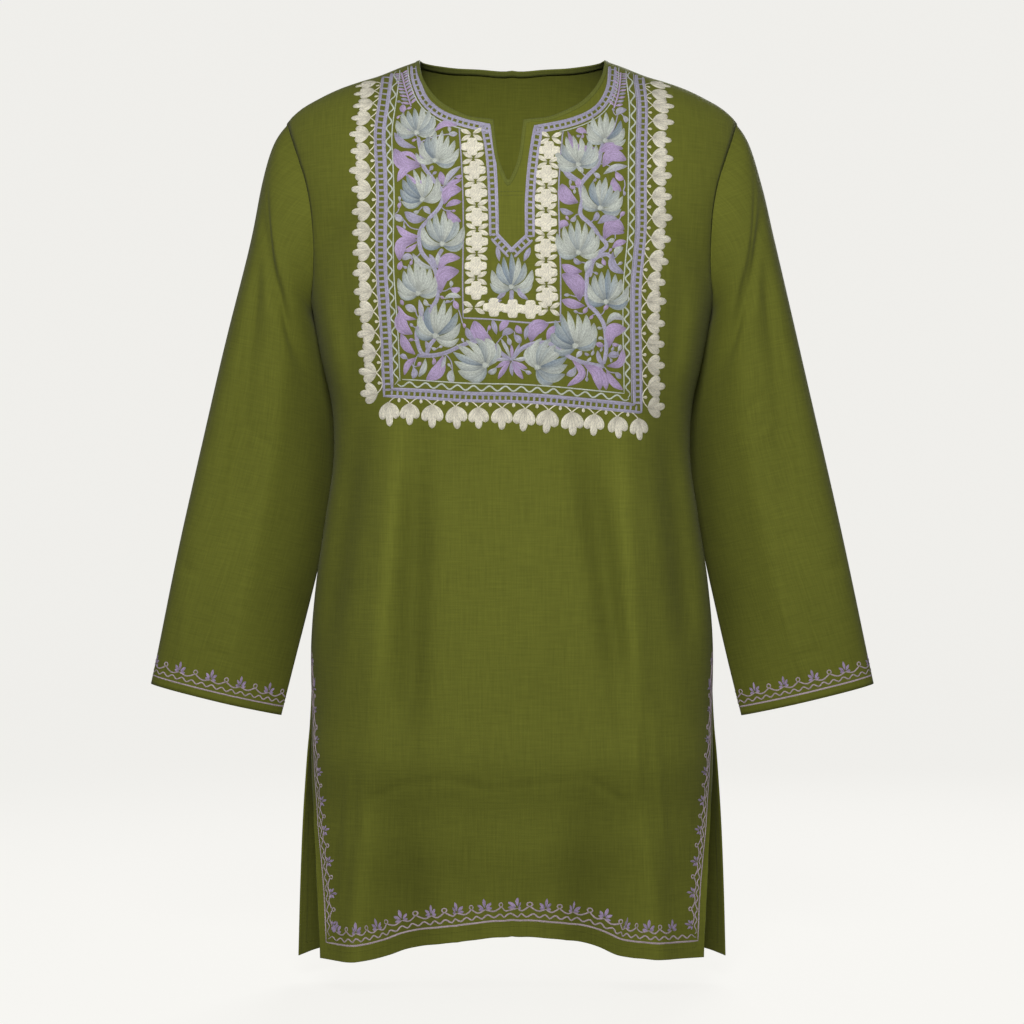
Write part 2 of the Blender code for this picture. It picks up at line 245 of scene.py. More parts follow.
# %% [markdown]
# The light is that of a studio for clothes. One soft panel stands high in front, and its
# narrow beam rests on the chest, so that hem and cuffs stay darker. One stands behind for
# the views of the back, and the room adds a trace all round. The paper shines by itself
# and takes no shadow, which keeps it even.

# %% Lights


def soft_light(name, place, aim, size, power):
    """Square area light at a place, turned to face another."""
    data = bpy.data.lights.new(name, "AREA")
    data.shape = "SQUARE"
    data.size = size
    data.energy = power
    data.spread = BEAM
    lamp = bpy.data.objects.new(name, data)
    way = np.array(aim, float) - np.array(place, float)
    flat = np.hypot(way[0], way[1])
    lamp.location = place
    lamp.rotation_euler = (np.arctan2(flat, -way[2]), 0, np.arctan2(way[1], way[0]) - np.pi / 2)
    bpy.context.scene.collection.objects.link(lamp)


BEAM = np.radians(72)
UPPER_CHEST = (0.02, 0, -0.27)
BACK_MIDDLE = (0, 0, -0.35)
soft_light("front panel", (-0.10, -2.8, 0.60), UPPER_CHEST, 0.8, 15.4)
soft_light("back panel", (0.6, 3.3, 0.9), BACK_MIDDLE, 1.6, 28)

world = bpy.data.worlds.new("pale room")
world.use_nodes = True
glow = world.node_tree.nodes["Background"].inputs
glow["Color"].default_value = (1.0, 0.995, 0.98, 1)
glow["Strength"].default_value = 0.05
bpy.context.scene.world = world
bpy.context.scene.view_settings.view_transform = "Standard"
print("lights:", [light.name for light in bpy.data.lights])

# %% [markdown]
# ## The form of the body
#
# The tunic is cut from flat pieces but worn round. Its form is kept as level sections: at
# each drop below the neck points the front is a flattened oval with a half width, a depth
# at the middle and a depth at the side edge. A cubic curve runs through the rows.

# %% Curve through a table
SHOULDER_ROUND = 0.1400
SHOULDER_ARC = 0.1200
SHOULDER_DEPTH = 0.1050
SEAM_GAP = 0.00002


def cubic(t, start, end, rise, fall):
    """Cubic over t from 0 to 1 between two values, with a slope at each of its ends."""
    first = start * (1 + 2 * t) * (1 - t) ** 2 + rise * t * (1 - t) ** 2
    last = end * t * t * (3 - 2 * t) + fall * t * t * (t - 1)
    return first + last


def smooth(knots, values, at):
    """Curve through table rows: on each step a cubic whose end slopes come from the
    rows on either side."""
    knots = np.asarray(knots, float)
    values = np.asarray(values, float)
    slope = np.gradient(values, knots)
    at = np.clip(at, knots[0], knots[-1])
    i = np.clip(np.searchsorted(knots, at) - 1, 0, len(knots) - 2)
    step = knots[i + 1] - knots[i]
    t = (at - knots[i]) / step
    return cubic(t, values[i], values[i + 1], step * slope[i], step * slope[i + 1])


# |x|, drop of the shoulder line; over the neck opening it runs on unseen
SHOULDER_LINE = np.array([
    (0.0000, -0.0300),
    (0.0500, -0.0200),
    (0.0920, 0.0000),
    (0.1125, 0.0075),
    (0.1325, 0.0155),
    (0.1525, 0.0215),
    (0.1725, 0.0285),
    (0.1925, 0.0380),
    (0.2125, 0.0500),
    (0.2255, 0.0620),
    (0.2400, 0.0780),
])


def seam_drop(x):
    """Drop of the shoulder line at x."""
    return smooth(*SHOULDER_LINE.T, np.abs(x))


print("shoulder point at drop", seam_drop(0.2255))

# %% Level sections
# drop, half width, depth at the middle, depth at the side edge, flatness, turn
FRONT = np.array([
    (0.000, 0.2450, 0.0900, 0.0000, 2.4, 2.4),
    (0.060, 0.2400, 0.0960, 0.0000, 2.4, 2.4),
    (0.120, 0.2300, 0.1080, 0.0000, 2.4, 2.4),
    (0.180, 0.2135, 0.1190, 0.0000, 2.4, 2.4),
    (0.244, 0.2005, 0.1240, 0.0000, 2.4, 2.4),
    (0.300, 0.1900, 0.1210, 0.0000, 2.4, 2.4),
    (0.345, 0.1800, 0.1155, 0.0000, 2.5, 2.4),
    (0.395, 0.1780, 0.1110, 0.0000, 2.6, 2.4),
    (0.455, 0.1860, 0.1100, 0.0000, 2.7, 2.4),
    (0.520, 0.1955, 0.1120, 0.0000, 2.8, 2.4),
    (0.580, 0.2005, 0.1150, 0.0000, 2.8, 2.4),
    (0.644, 0.1995, 0.1180, 0.0150, 2.8, 2.0),
    (0.700, 0.1985, 0.1200, 0.0350, 2.8, 1.6),
    (0.760, 0.1950, 0.1165, 0.0500, 2.7, 1.3),
    (0.820, 0.1905, 0.1140, 0.0640, 2.6, 1.2),
    (0.900, 0.1870, 0.1120, 0.0760, 2.6, 1.2),
])
BACK = np.array([
    (0.000, 0.2450, 0.1000, 0.0000, 2.4, 2.4),
    (0.060, 0.2400, 0.1000, 0.0000, 2.4, 2.4),
    (0.120, 0.2300, 0.1050, 0.0000, 2.4, 2.4),
    (0.180, 0.2135, 0.1080, 0.0000, 2.4, 2.4),
    (0.244, 0.2005, 0.1060, 0.0000, 2.4, 2.4),
    (0.300, 0.1900, 0.0990, 0.0000, 2.4, 2.4),
    (0.345, 0.1800, 0.0920, 0.0000, 2.5, 2.4),
    (0.395, 0.1780, 0.0880, 0.0000, 2.6, 2.4),
    (0.455, 0.1860, 0.0900, 0.0000, 2.7, 2.4),
    (0.520, 0.1955, 0.0960, 0.0000, 2.8, 2.4),
    (0.580, 0.2005, 0.1010, 0.0000, 2.8, 2.4),
    (0.644, 0.2015, 0.1030, 0.0080, 2.8, 2.0),
    (0.700, 0.2065, 0.1040, 0.0180, 2.8, 1.6),
    (0.760, 0.2110, 0.1040, 0.0280, 2.7, 1.4),
    (0.820, 0.2140, 0.1030, 0.0370, 2.6, 1.3),
    (0.910, 0.2170, 0.1010, 0.0470, 2.6, 1.3),
])
print("bust half widths:", FRONT[3:6, 1])

# %% [markdown]
# Folds are soft troughs and ridges, each along its own line: a bell across the line that
# fades past both ends. The first rows of each table are the large ones that the solids
# have too. The rest are the finer creases of a garment that has been folded and worn:
# a cross crease above the hem, thin ridges down the sides, short puckers under the
# embroidery, which is stiffer than the cloth that it sits on.

# %% Folds
# x and drop at the top, x and drop at the bottom, half width, height out of the cloth
FRONT_FOLDS = np.array([
    (-0.0910, 0.390, -0.0990, 0.690, 0.0150, -0.0120),
    (-0.1115, 0.370, -0.1355, 0.650, 0.0150, 0.0085),
    (-0.1500, 0.370, -0.1830, 0.600, 0.0150, -0.0115),
    (0.0700, 0.390, 0.1100, 0.640, 0.0150, -0.0120),
    (0.1090, 0.370, 0.1200, 0.690, 0.0150, 0.0085),
    (0.1500, 0.370, 0.1740, 0.590, 0.0150, -0.0115),
    (-0.1050, 0.760, -0.1050, 0.960, 0.0270, -0.0130),
    (0.0760, 0.760, 0.0760, 0.960, 0.0270, -0.0120),
    (-0.1450, 0.740, -0.1600, 0.960, 0.0130, 0.0075),
    (0.1300, 0.740, 0.1500, 0.960, 0.0140, 0.0075),
    (-0.1500, 0.150, -0.1800, 0.185, 0.0140, -0.0060),
    (0.1530, 0.160, 0.1830, 0.200, 0.0130, -0.0040),
    (-0.1850, 0.240, -0.1700, 0.330, 0.0120, 0.0050),
    (0.1830, 0.240, 0.1700, 0.330, 0.0120, 0.0050),
    (0.1205, 0.650, 0.1215, 0.728, 0.0040, 0.0013),
    (0.1370, 0.633, 0.1505, 0.807, 0.0055, 0.0017),
    (-0.1570, 0.691, -0.1690, 0.846, 0.0045, 0.0015),
    (-0.1457, 0.730, -0.1330, 0.846, 0.0055, 0.0014),
    (-0.1360, 0.730, -0.1080, 0.716, 0.0040, -0.0013),
    (-0.1080, 0.716, -0.0650, 0.709, 0.0035, -0.0011),
    (-0.0650, 0.709, -0.0220, 0.718, 0.0035, -0.0011),
    (-0.0220, 0.718, 0.0750, 0.708, 0.0035, -0.0008),
    (0.0750, 0.708, 0.1120, 0.735, 0.0040, -0.0013),
    (-0.0760, 0.366, -0.0540, 0.377, 0.0040, 0.0008),
    (-0.0600, 0.362, -0.0390, 0.371, 0.0035, 0.0006),
    (0.0460, 0.369, 0.0560, 0.385, 0.0040, 0.0006),
    (-0.0060, 0.368, 0.0020, 0.392, 0.0050, -0.0007),
    (0.0850, 0.378, 0.0900, 0.405, 0.0050, -0.0008),
    (-0.0400, 0.410, -0.0460, 0.560, 0.0150, -0.0011),
    (0.0180, 0.420, 0.0230, 0.600, 0.0170, 0.0010),
    (-0.0100, 0.730, -0.0150, 0.860, 0.0200, 0.0012),
    (-0.1640, 0.200, -0.1560, 0.330, 0.0080, -0.0014),
    (0.1640, 0.200, 0.1570, 0.330, 0.0080, -0.0014),
])
BACK_FOLDS = np.array([
    (-0.0600, 0.360, -0.0850, 0.740, 0.020, -0.0085),
    (0.0700, 0.340, 0.0600, 0.760, 0.022, -0.0080),
    (0.0050, 0.440, -0.0100, 0.920, 0.026, 0.0070),
    (-0.1350, 0.400, -0.1500, 0.820, 0.020, 0.0070),
    (0.1300, 0.380, 0.1550, 0.800, 0.020, 0.0065),
    (0.0900, 0.740, 0.1000, 0.950, 0.026, -0.0095),
    (-0.1000, 0.740, -0.1100, 0.950, 0.028, -0.0090),
    (-0.1300, 0.120, -0.1550, 0.320, 0.0120, -0.0040),
    (0.1280, 0.130, 0.1580, 0.330, 0.0130, -0.0036),
    (-0.1100, 0.110, -0.1200, 0.280, 0.0110, 0.0026),
    (0.1080, 0.100, 0.1200, 0.300, 0.0120, 0.0024),
    (-0.0400, 0.330, 0.0300, 0.345, 0.0070, -0.0014),
    (-0.0900, 0.380, -0.0100, 0.372, 0.0060, -0.0013),
    (0.0200, 0.395, 0.1000, 0.408, 0.0060, -0.0013),
    (-0.0300, 0.520, -0.0380, 0.700, 0.0070, 0.0015),
    (0.0420, 0.560, 0.0500, 0.760, 0.0080, -0.0016),
    (0.1120, 0.600, 0.1220, 0.800, 0.0060, 0.0016),
    (-0.1180, 0.620, -0.1290, 0.830, 0.0065, 0.0016),
    (-0.0700, 0.706, 0.0300, 0.712, 0.0040, -0.0010),
    (0.0300, 0.712, 0.1000, 0.704, 0.0040, -0.0010),
])
# drop, half width, height of the folds that cross a whole panel
FRONT_BENDS = np.array([
    (0.690, 0.026, 0.0030),
    (0.745, 0.030, -0.0040),
    (0.820, 0.050, -0.0060),
])
BACK_BENDS = np.array([
    (0.385, 0.030, -0.0030),
    (0.450, 0.030, 0.0025),
])


FOLD_FADE = 0.27


def fold_height(x, drop, folds):
    """Sum of soft folds: a bell across each line, full over its middle third and slowly
    faded towards both of its ends."""
    total = np.zeros(np.broadcast(x, drop).shape)
    for x0, d0, x1, d1, width, height in folds:
        run = np.array((x1 - x0, d1 - d0))
        length = np.hypot(*run)
        along = ((x - x0) * run[0] + (drop - d0) * run[1]) / length ** 2
        across = ((x - x0) * run[1] - (drop - d0) * run[0]) / length
        inside = np.clip(along, 0.33, 0.67)
        beyond = (along - inside) * length
        fade = beyond / (FOLD_FADE * length + width)
        total += height * np.exp(-(across / width) ** 2 - fade ** 2)
    return total


def slack(x, drop, seed):
    """Slight unevenness of hung cloth: a few long seeded waves, half a millimetre high
    in all, steeper down the cloth than across it."""
    draw = np.random.default_rng(seed)
    total = 0
    for _ in range(9):
        across = draw.uniform(25, 75)
        down = draw.uniform(8, 32) * draw.choice((-1, 1))
        phase = draw.uniform(0, 2 * np.pi)
        total = total + np.sin(across * x + down * drop + phase)
    return total * 0.00028


print("folds in front and behind:", len(FRONT_FOLDS), len(BACK_FOLDS))

# %% [markdown]
# A place on a panel has two addresses. Seen from the front it is (x, drop). On the cloth
# it is (u, v): the way along the cloth from its middle, and the way down it. Weave and
# embroidery are laid out in u and v, so they turn over the shoulder and round the sides
# with the cloth instead of stretching there.

# %% Panels


def look_up(table, row, column):
    """A table read between its entries, straight lines both ways."""
    row = np.clip(row, 0, table.shape[0] - 1.001)
    column = np.clip(column, 0, table.shape[1] - 1.001)
    r = row.astype(int)
    c = column.astype(int)
    a = row - r
    b = column - c
    top = table[r, c] * (1 - b) + table[r, c + 1] * b
    bottom = table[r + 1, c] * (1 - b) + table[r + 1, c + 1] * b
    return top * (1 - a) + bottom * a


class Panel:
    """Front or back of the body: its depth, and the change between both addresses."""

    STEPS = 60
    LEVEL_STEP = 0.01
    LOWEST = 0.94

    def __init__(self, sections, folds, bends, side, seed):
        self.sections = sections
        self.folds = folds
        self.bends = bends
        self.side = side
        self.seed = seed
        levels = np.arange(0, self.LOWEST, self.LEVEL_STEP)
        lean = np.linspace(0, np.pi / 2, self.STEPS + 1)
        x = self.half(levels)[:, None] * np.sin(lean)
        y = self.oval(x, levels[:, None])
        way = np.cumsum(np.hypot(np.diff(x), np.diff(y)), 1)
        way = np.concatenate((np.zeros((len(levels), 1)), way), 1)
        self.levels = levels
        self.girth = way[:, -1]
        self.share_of_lean = way / self.girth[:, None]
        even = np.linspace(0, 1, self.STEPS + 1)
        self.lean_of_share = np.array([np.interp(even, row, lean) for row in self.share_of_lean])
        turned = np.linspace(0, np.pi / 2, 200)
        middle = (turned[1:] + turned[:-1]) / 2
        arc = np.hypot(SHOULDER_ROUND * np.sin(middle), SHOULDER_DEPTH * np.cos(middle)) * turned[1]
        self.turned = turned
        self.above = np.concatenate((np.cumsum(arc[::-1])[::-1], [0]))

    def half(self, drop):
        return smooth(self.sections[:, 0], self.sections[:, 1], drop)

    def oval(self, x, drop):
        """Depth of the flattened oval: from the edge depth up to the centre depth times
        (1 - |x / half width| ^ flatness) ^ (1 / turn)."""
        half, centre, edge, flat, turn = (
            smooth(self.sections[:, 0], self.sections[:, k], drop) for k in range(1, 6))
        edge = np.maximum(edge, 0)
        across = np.clip(np.abs(x) / half, 0, 1)
        return edge + (centre - edge) * (1 - across ** flat) ** (1 / turn)

    def depth(self, x, drop):
        """Y of the cloth: the oval, drawn in along a quarter oval near the shoulder
        line, with the folds added outwards and faded out at the side edge."""
        rise = 1 - np.clip((drop - seam_drop(x)) / SHOULDER_ROUND, 0, 1)
        round_in = np.sqrt(1 - rise ** 2)
        across = np.clip(np.abs(x) / self.half(drop), 0, 1)
        soft = np.clip(3 * (1 - across ** 2.5) ** 0.45, 0, 1)
        bump = fold_height(x, drop, self.folds) + slack(x, drop, self.seed)
        for level, width, height in self.bends:
            bump = bump + height * np.exp(-((drop - level) / width) ** 2)
        depth = self.oval(x, drop) * round_in + bump * soft * round_in
        return self.side * (depth + SEAM_GAP / 2)

    def to_cloth(self, x, drop):
        """(x, drop) to (u, v)."""
        lean = np.arcsin(np.clip(np.abs(x) / self.half(drop), 0, 1))
        share = look_up(self.share_of_lean, drop / self.LEVEL_STEP, lean / (np.pi / 2) * self.STEPS)
        u = np.sign(x) * share * np.interp(drop, self.levels, self.girth)
        below = (drop - seam_drop(x)) / SHOULDER_ROUND
        turned = np.arccos(np.clip(1 - below, 0, 1))
        above = np.interp(turned, self.turned, self.above)
        return u, np.where(below < 1, seam_drop(x) + SHOULDER_ROUND - above, drop)

    def from_cloth(self, u, v):
        """(u, v) to (x, drop), closing in on it in a few rounds."""
        x = u
        for _ in range(5):
            above = seam_drop(x) + SHOULDER_ROUND - v
            turned = np.interp(-above, -self.above, self.turned)
            rolled = seam_drop(x) + SHOULDER_ROUND * (1 - np.cos(turned))
            drop = np.where(above > 0, rolled, v)
            share = np.abs(u) / np.interp(drop, self.levels, self.girth)
            lean = look_up(self.lean_of_share, drop / self.LEVEL_STEP, share * self.STEPS)
            x = np.sign(u) * self.half(drop) * np.sin(lean)
        return x, drop

    def surface(self, u, v):
        """XYZ of the cloth at (u, v)."""
        x, drop = self.from_cloth(u, v)
        return np.stack((x, self.depth(x, drop), -drop), -1)

    def raised(self, u, v, height):
        """XYZ at a height over the cloth, square to it."""
        step = 0.0008
        across = self.surface(u + step, v) - self.surface(u - step, v)
        down = self.surface(u, v + step) - self.surface(u, v - step)
        normal = np.cross(across, down) * self.side
        normal /= np.linalg.norm(normal, axis=-1, keepdims=True)
        return self.surface(u, v) + normal * height[..., None]


front = Panel(FRONT, FRONT_FOLDS, FRONT_BENDS, -1, 11)
back = Panel(BACK, BACK_FOLDS, BACK_BENDS, 1, 12)
there = front.to_cloth(np.array([0.12, 0.15]), np.array([0.05, 0.60]))
print("two addresses:", np.round(front.from_cloth(*there), 4).tolist())

# %% [markdown]
# ## Cutting the panels
#
# A garment panel isn't a rectangle, so its grid is fitted to it: the first rows follow
# the neckline, the slit and the shoulder seams, the next ease into a level line at the
# underarm, and the last run level to the hem. The plan is made coarse, where its rows
# can't cross, and then read between its points.

# %% Edges of the cut
NECK_HALF = 0.0920
NECK_DEPTH_FRONT = 0.0700
NECK_DROP_BACK = 0.0010
SLIT_HALF = 0.0146
SLIT_CENTRE = -0.0035
SLIT_BOTTOM = 0.1300
SHOULDER_HALF = 0.2255
UNDERARM_DROP = 0.2440
BAND_STEPS = (0.0025, 0.0075)
YOKE_ROWS = 10
SKIRT_ROWS = 22
FRONT_HALF_COLUMNS = 15
BACK_HALF_COLUMNS = 11

# drop, half width in front, half width behind
ARMHOLE = np.array([
    (0.0620, 0.2255, 0.2255),
    (0.0800, 0.2195, 0.2215),
    (0.1000, 0.2125, 0.2165),
    (0.1220, 0.2050, 0.2115),
    (0.1500, 0.1990, 0.2065),
    (0.1800, 0.1965, 0.2030),
    (0.2100, 0.1965, 0.2005),
    (0.2300, 0.1985, 0.2000),
    (0.2440, 0.2005, 0.2005),
])
# x, drop
HEM_FRONT = np.array([
    (-0.190, 0.8865),
    (-0.155, 0.8880),
    (-0.122, 0.8825),
    (-0.095, 0.8735),
    (-0.050, 0.8665),
    (0.000, 0.8610),
    (0.045, 0.8645),
    (0.080, 0.8715),
    (0.100, 0.8800),
    (0.130, 0.8840),
    (0.190, 0.8860),
])
HEM_BACK = np.array([
    (-0.220, 0.9015),
    (-0.197, 0.8950),
    (-0.150, 0.8885),
    (0.000, 0.8820),
    (0.150, 0.8885),
    (0.197, 0.8950),
    (0.220, 0.9015),
])


def neck_edge_front(columns):
    """Top edge of the front from its middle out to each side, as (x, drop): slit side,
    quarter oval neckline, shoulder seam."""
    sides = []
    for sign in (-1, 1):
        t = np.array((1.0, 0.93, 0.6))
        slit = np.stack((SLIT_CENTRE + sign * SLIT_HALF * (1 - t ** 1.8) ** 0.75,
                         NECK_DEPTH_FRONT + (SLIT_BOTTOM - NECK_DEPTH_FRONT) * t), 1)
        corner = SLIT_CENTRE + sign * SLIT_HALF
        turn = np.radians((90, 70, 50, 33, 18, 7, 1.5, 0))
        reach = sign * NECK_HALF - corner
        neck = np.stack((corner + reach * np.cos(turn), NECK_DEPTH_FRONT * np.sin(turn)), 1)
        out = np.linspace(NECK_HALF, SHOULDER_HALF, columns - 9)[1:]
        seam = np.stack((sign * out, seam_drop(out)), 1)
        sides.append(np.concatenate((slit, neck, seam)))
    return np.concatenate((sides[0][:0:-1], sides[1]))


def neck_edge_back(columns):
    """Top edge of the back: a shallow neckline, then the shoulder seams."""
    across = NECK_HALF * np.sin(np.linspace(0, np.pi / 2, columns - 5))
    neck = np.stack((across, NECK_DROP_BACK * (1 - (across / NECK_HALF) ** 2)), 1)
    out = np.linspace(NECK_HALF, SHOULDER_HALF, 7)[1:]
    half = np.concatenate((neck, np.stack((out, seam_drop(out)), 1)))
    return np.concatenate((half[:0:-1] * (-1, 1), half))


print("front edge points:", len(neck_edge_front(FRONT_HALF_COLUMNS)))

# %% Plan of a panel


def unroll(plan):
    """(x, drop) to (x, way down from the shoulder line), where the shoulder is a
    quarter oval."""
    below = (plan[..., 1] - seam_drop(plan[..., 0])) / SHOULDER_ROUND
    turned = np.where(below < 1, np.arccos(np.clip(1 - below, 0, 1)), np.pi / 2 + below - 1)
    return np.stack((plan[..., 0], SHOULDER_ARC * turned), -1)


def roll(flat):
    """The way back from unroll."""
    turned = flat[..., 1] / SHOULDER_ARC
    below = np.where(turned < np.pi / 2, 1 - np.cos(turned), 1 + turned - np.pi / 2)
    return np.stack((flat[..., 0], seam_drop(flat[..., 0]) + SHOULDER_ROUND * below), -1)


def inset(edge, distance):
    """The edge line moved into the cloth, square to its run and mitred where it turns.
    The two ends, on the armholes, go straight down."""
    run = np.diff(edge, axis=0)
    run /= np.linalg.norm(run, axis=1, keepdims=True)
    square = np.stack((-run[:, 1], run[:, 0]), 1)
    before = np.concatenate((square[:1], square))
    after = np.concatenate((square, square[-1:]))
    inward = (before + after) / (1 + np.sum(before * after, 1, keepdims=True))
    inward[[0, -1]] = (0, 1)
    return edge + inward * distance


def panel_plan(edge, arm_column, panel, hem, columns):
    """Coarse plan: rows that follow the top edge, rows that ease into a level line at
    the underarm, level rows down to the hem."""
    share = np.linspace(-1, 1, 2 * columns + 1)
    share = np.sin(1.4 * share) / np.sin(1.4)
    level = np.stack((share * panel.half(UNDERARM_DROP), np.full(len(share), UNDERARM_DROP)), 1)
    flat_level = unroll(level)
    flat_edge = unroll(edge)
    rows = [flat_edge] + [inset(flat_edge, step) for step in BAND_STEPS]
    last = rows[-1]
    for k in range(1, YOKE_ROWS + 1):
        t = 1 - (1 - k / YOKE_ROWS) ** 1.5
        rows.append(last * (1 - t) + flat_level * t)
    plan = roll(np.array(rows))
    arm = smooth(ARMHOLE[:, 0], ARMHOLE[:, arm_column], plan[:, -1, 1])
    pull = (arm / plan[:, -1, 0])[:, None]
    side = np.clip((np.abs(share) - 0.55) / 0.45, 0, 1) ** 2
    plan[..., 0] *= 1 + (pull - 1) * side
    t = np.arange(1, SKIRT_ROWS + 1)[:, None] / SKIRT_ROWS
    foot = smooth(*hem.T, share * panel.sections[-1, 1])
    drop = UNDERARM_DROP + t * (foot - UNDERARM_DROP)
    skirt = np.stack((share * panel.half(drop), drop), -1)
    return np.concatenate((plan, skirt))


def refine(rows, at, breaks=()):
    """Rows of a table read at places between them: on each step a cubic, with a corner
    allowed at each break."""
    ends = [0, *breaks, len(rows) - 1]
    made = np.empty((len(at), *rows.shape[1:]))
    for first, last in zip(ends[:-1], ends[1:]):
        here = (at >= first) & (at <= last)
        part = rows[first:last + 1]
        slope = np.gradient(part, axis=0)
        i = np.clip((at[here] - first).astype(int), 0, last - first - 1)
        t = (at[here] - first - i)[:, None, None]
        made[here] = cubic(t, part[i], part[i + 1], slope[i], slope[i + 1])
    return made


COLUMN_SPLIT = 5
UNDERARM_ROW = len(BAND_STEPS) + YOKE_ROWS
BAND_ROWS = np.array((0, 0.4, 0.8, 1.2, 1.6))
YOKE_FINE = np.arange(2, UNDERARM_ROW, 1 / 8)
SKIRT_FINE = np.arange(UNDERARM_ROW, UNDERARM_ROW + SKIRT_ROWS - 0.2, 1 / 8)
HEM_ROWS = UNDERARM_ROW + SKIRT_ROWS - np.array((0.08, 0.03, 0))
FINE_ROWS = np.concatenate((BAND_ROWS, YOKE_FINE, SKIRT_FINE, HEM_ROWS))


def fine_plan(plan, corners):
    """The plan with about 8 rows and 5 columns for each coarse one."""
    columns = np.arange((plan.shape[1] - 1) * COLUMN_SPLIT + 1) / COLUMN_SPLIT
    flat = refine(unroll(plan), FINE_ROWS, (UNDERARM_ROW,))
    flat = refine(flat.transpose(1, 0, 2), columns, corners).transpose(1, 0, 2)
    flat[0, :, 1] = np.maximum(flat[0, :, 1], 0)
    return roll(flat)


front_plan = fine_plan(
    panel_plan(neck_edge_front(FRONT_HALF_COLUMNS), 1, front, HEM_FRONT, FRONT_HALF_COLUMNS),
    (5, 12, 18, 25))
back_plan = fine_plan(
    panel_plan(neck_edge_back(BACK_HALF_COLUMNS), 2, back, HEM_BACK, BACK_HALF_COLUMNS), (6, 16))
print("plan grids:", front_plan.shape, back_plan.shape)

# %% [markdown]
# ## The cloth
#
# Up close the cotton is a plain weave of uneven threads: some run thicker and paler for a
# few centimetres, both ways. The weave is far finer than a mesh can hold, so it is a bump
# and a slight change of colour on the cloth's own flat coordinates. A second set of flat
# coordinates says how far each place is from the nearest turned edge, which gives the
# double cloth there and its row of stitches.

# %% Cotton finish
THREAD = 0.00046
HEM_TURN = 0.0105
STITCH = 0.0026
STITCH_LINE = HEM_TURN * 0.92

# waves a metre across and down, seed, share of the shade, height of the bump: both sets
# of fine threads, both sets of slubs, and the cloudy unevenness of the dye
SLUBS = (
    (1150, 26, 0.0, 0.22, 0.00010),
    (30, 1250, 7.0, 0.24, 0.00011),
    (540, 30, 3.0, 0.34, 0),
    (40, 560, 9.0, 0.32, 0),
    (16, 12, 5.0, 0.14, 0),
)


def cotton(name, colour):
    """Green cotton: slubs along both threads, plain weave, turned edge and its stitches."""
    cloth = Finish(name)
    weave = cloth.add("ShaderNodeUVMap", {"uv_map": "weave"})
    u = cloth.part(weave, 0)
    v = cloth.part(weave, 1)
    turn = np.pi / THREAD
    height = (u * turn).sin() * (v * turn).sin() * 0.00003
    shade = 0.37
    for across, down, seed, paler, thicker in SLUBS:
        slub = cloth.noise(cloth.vector(u * across, v * down, seed))
        shade = shade + slub * paler
        if thicker:
            height = height + slub * thicker
    turning = cloth.add("ShaderNodeUVMap", {"uv_map": "turning"})
    run = cloth.part(turning, 0)
    edge = cloth.part(turning, 1)
    double = edge.below(HEM_TURN, 0.0004)
    row = abs(edge - STITCH_LINE).below(0.00035, 0.0002)
    dash = abs((run / STITCH).fract() - 0.5).below(0.36, 0.08)
    stitch = row * dash
    # painted shading: a per-point attribute darkens fold hollows and the sleeve beside the body,
    # and lightens fold ridges
    painted_shading = cloth.add("ShaderNodeAttribute", {"attribute_name": "painted_shading"}, None, "Fac")
    shade = shade * (1 - stitch * 0.16) * (1 + double * 0.02) * (1 + painted_shading)
    cloth.set(Base_Color=cloth.tinted(colour, shade), Roughness=0.86)
    cloth.set(Sheen_Weight=0.03, Sheen_Roughness=0.5, Specular_IOR_Level=0.08)
    cloth.bump(height + double * 0.0003 - stitch * 0.0002)
    return cloth.material


GREEN = (0.107, 0.116, 0.0150)
green_cotton = cotton("green cotton", GREEN)
print("materials:", [m.name for m in bpy.data.materials][:8])

# %% [markdown]
# A piece of cloth is a grid of points with a flat address for each. Solidify gives it the
# thickness of cloth, on the inside of the drawn surface, so that the outside stays where
# the solid's is.

# %% Cloth from a grid
CLOTH = 0.0011
# painted shading: how strongly fold height darkens hollows and lightens ridges, and its limits
PAINTED_SHADING_SCALE = 15
DARKEST_PAINTED_SHADE = -0.45
PALEST_PAINTED_LIGHT = 0.10


def lay_coordinates(mesh, name, flat, flip):
    """UV map from the flat address of each grid point. Those of a closed grid have one
    more column, so that the last faces don't run back over the whole width."""
    corners = grid_faces(flat.shape[0], flat.shape[1], flip=flip)
    layer = mesh.uv_layers.new(name=name)
    layer.data.foreach_set("uv", flat.reshape(-1, 2)[corners].astype(np.float32).ravel())


def cloth_piece(name, grid, weave, turning, material, closed=False, flip=False, wall=CLOTH,
                side=-1.0, fold=None):
    """Thin cloth on a grid: faces, both sets of flat coordinates, material, thickness.
    Painted shading: where a fold is given, its ridges are painted a little paler and its hollows
    darker."""
    piece = mesh_object(name, grid, grid_faces(grid.shape[0], grid.shape[1], closed, flip))
    lay_coordinates(piece.data, "weave", weave, flip)
    lay_coordinates(piece.data, "turning", turning, flip)
    if fold is not None:
        # painted shade in fold hollows and beside the body, painted light on fold ridges
        painted_shading = piece.data.attributes.new("painted_shading", "FLOAT", "POINT")
        shade = np.clip(fold * PAINTED_SHADING_SCALE, DARKEST_PAINTED_SHADE, PALEST_PAINTED_LIGHT)
        painted_shading.data.foreach_set("value", shade.astype(np.float32).ravel())
    piece.data.materials.append(material)
    shell = piece.modifiers.new("cloth", "SOLIDIFY")
    shell.thickness = wall
    shell.offset = side
    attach(piece, "root")
    return piece


def grid_normals(grid, closed=False):
    """Unit normals of a point grid, from the cross product of its two runs."""
    if closed:
        wrapped = np.concatenate((grid[:, -1:], grid, grid[:, :1]), 1)
        across = np.gradient(wrapped, axis=1)[:, 1:-1]
    else:
        across = np.gradient(grid, axis=1)
    normal = np.cross(across, np.gradient(grid, axis=0))
    return normal / np.linalg.norm(normal, axis=-1, keepdims=True)


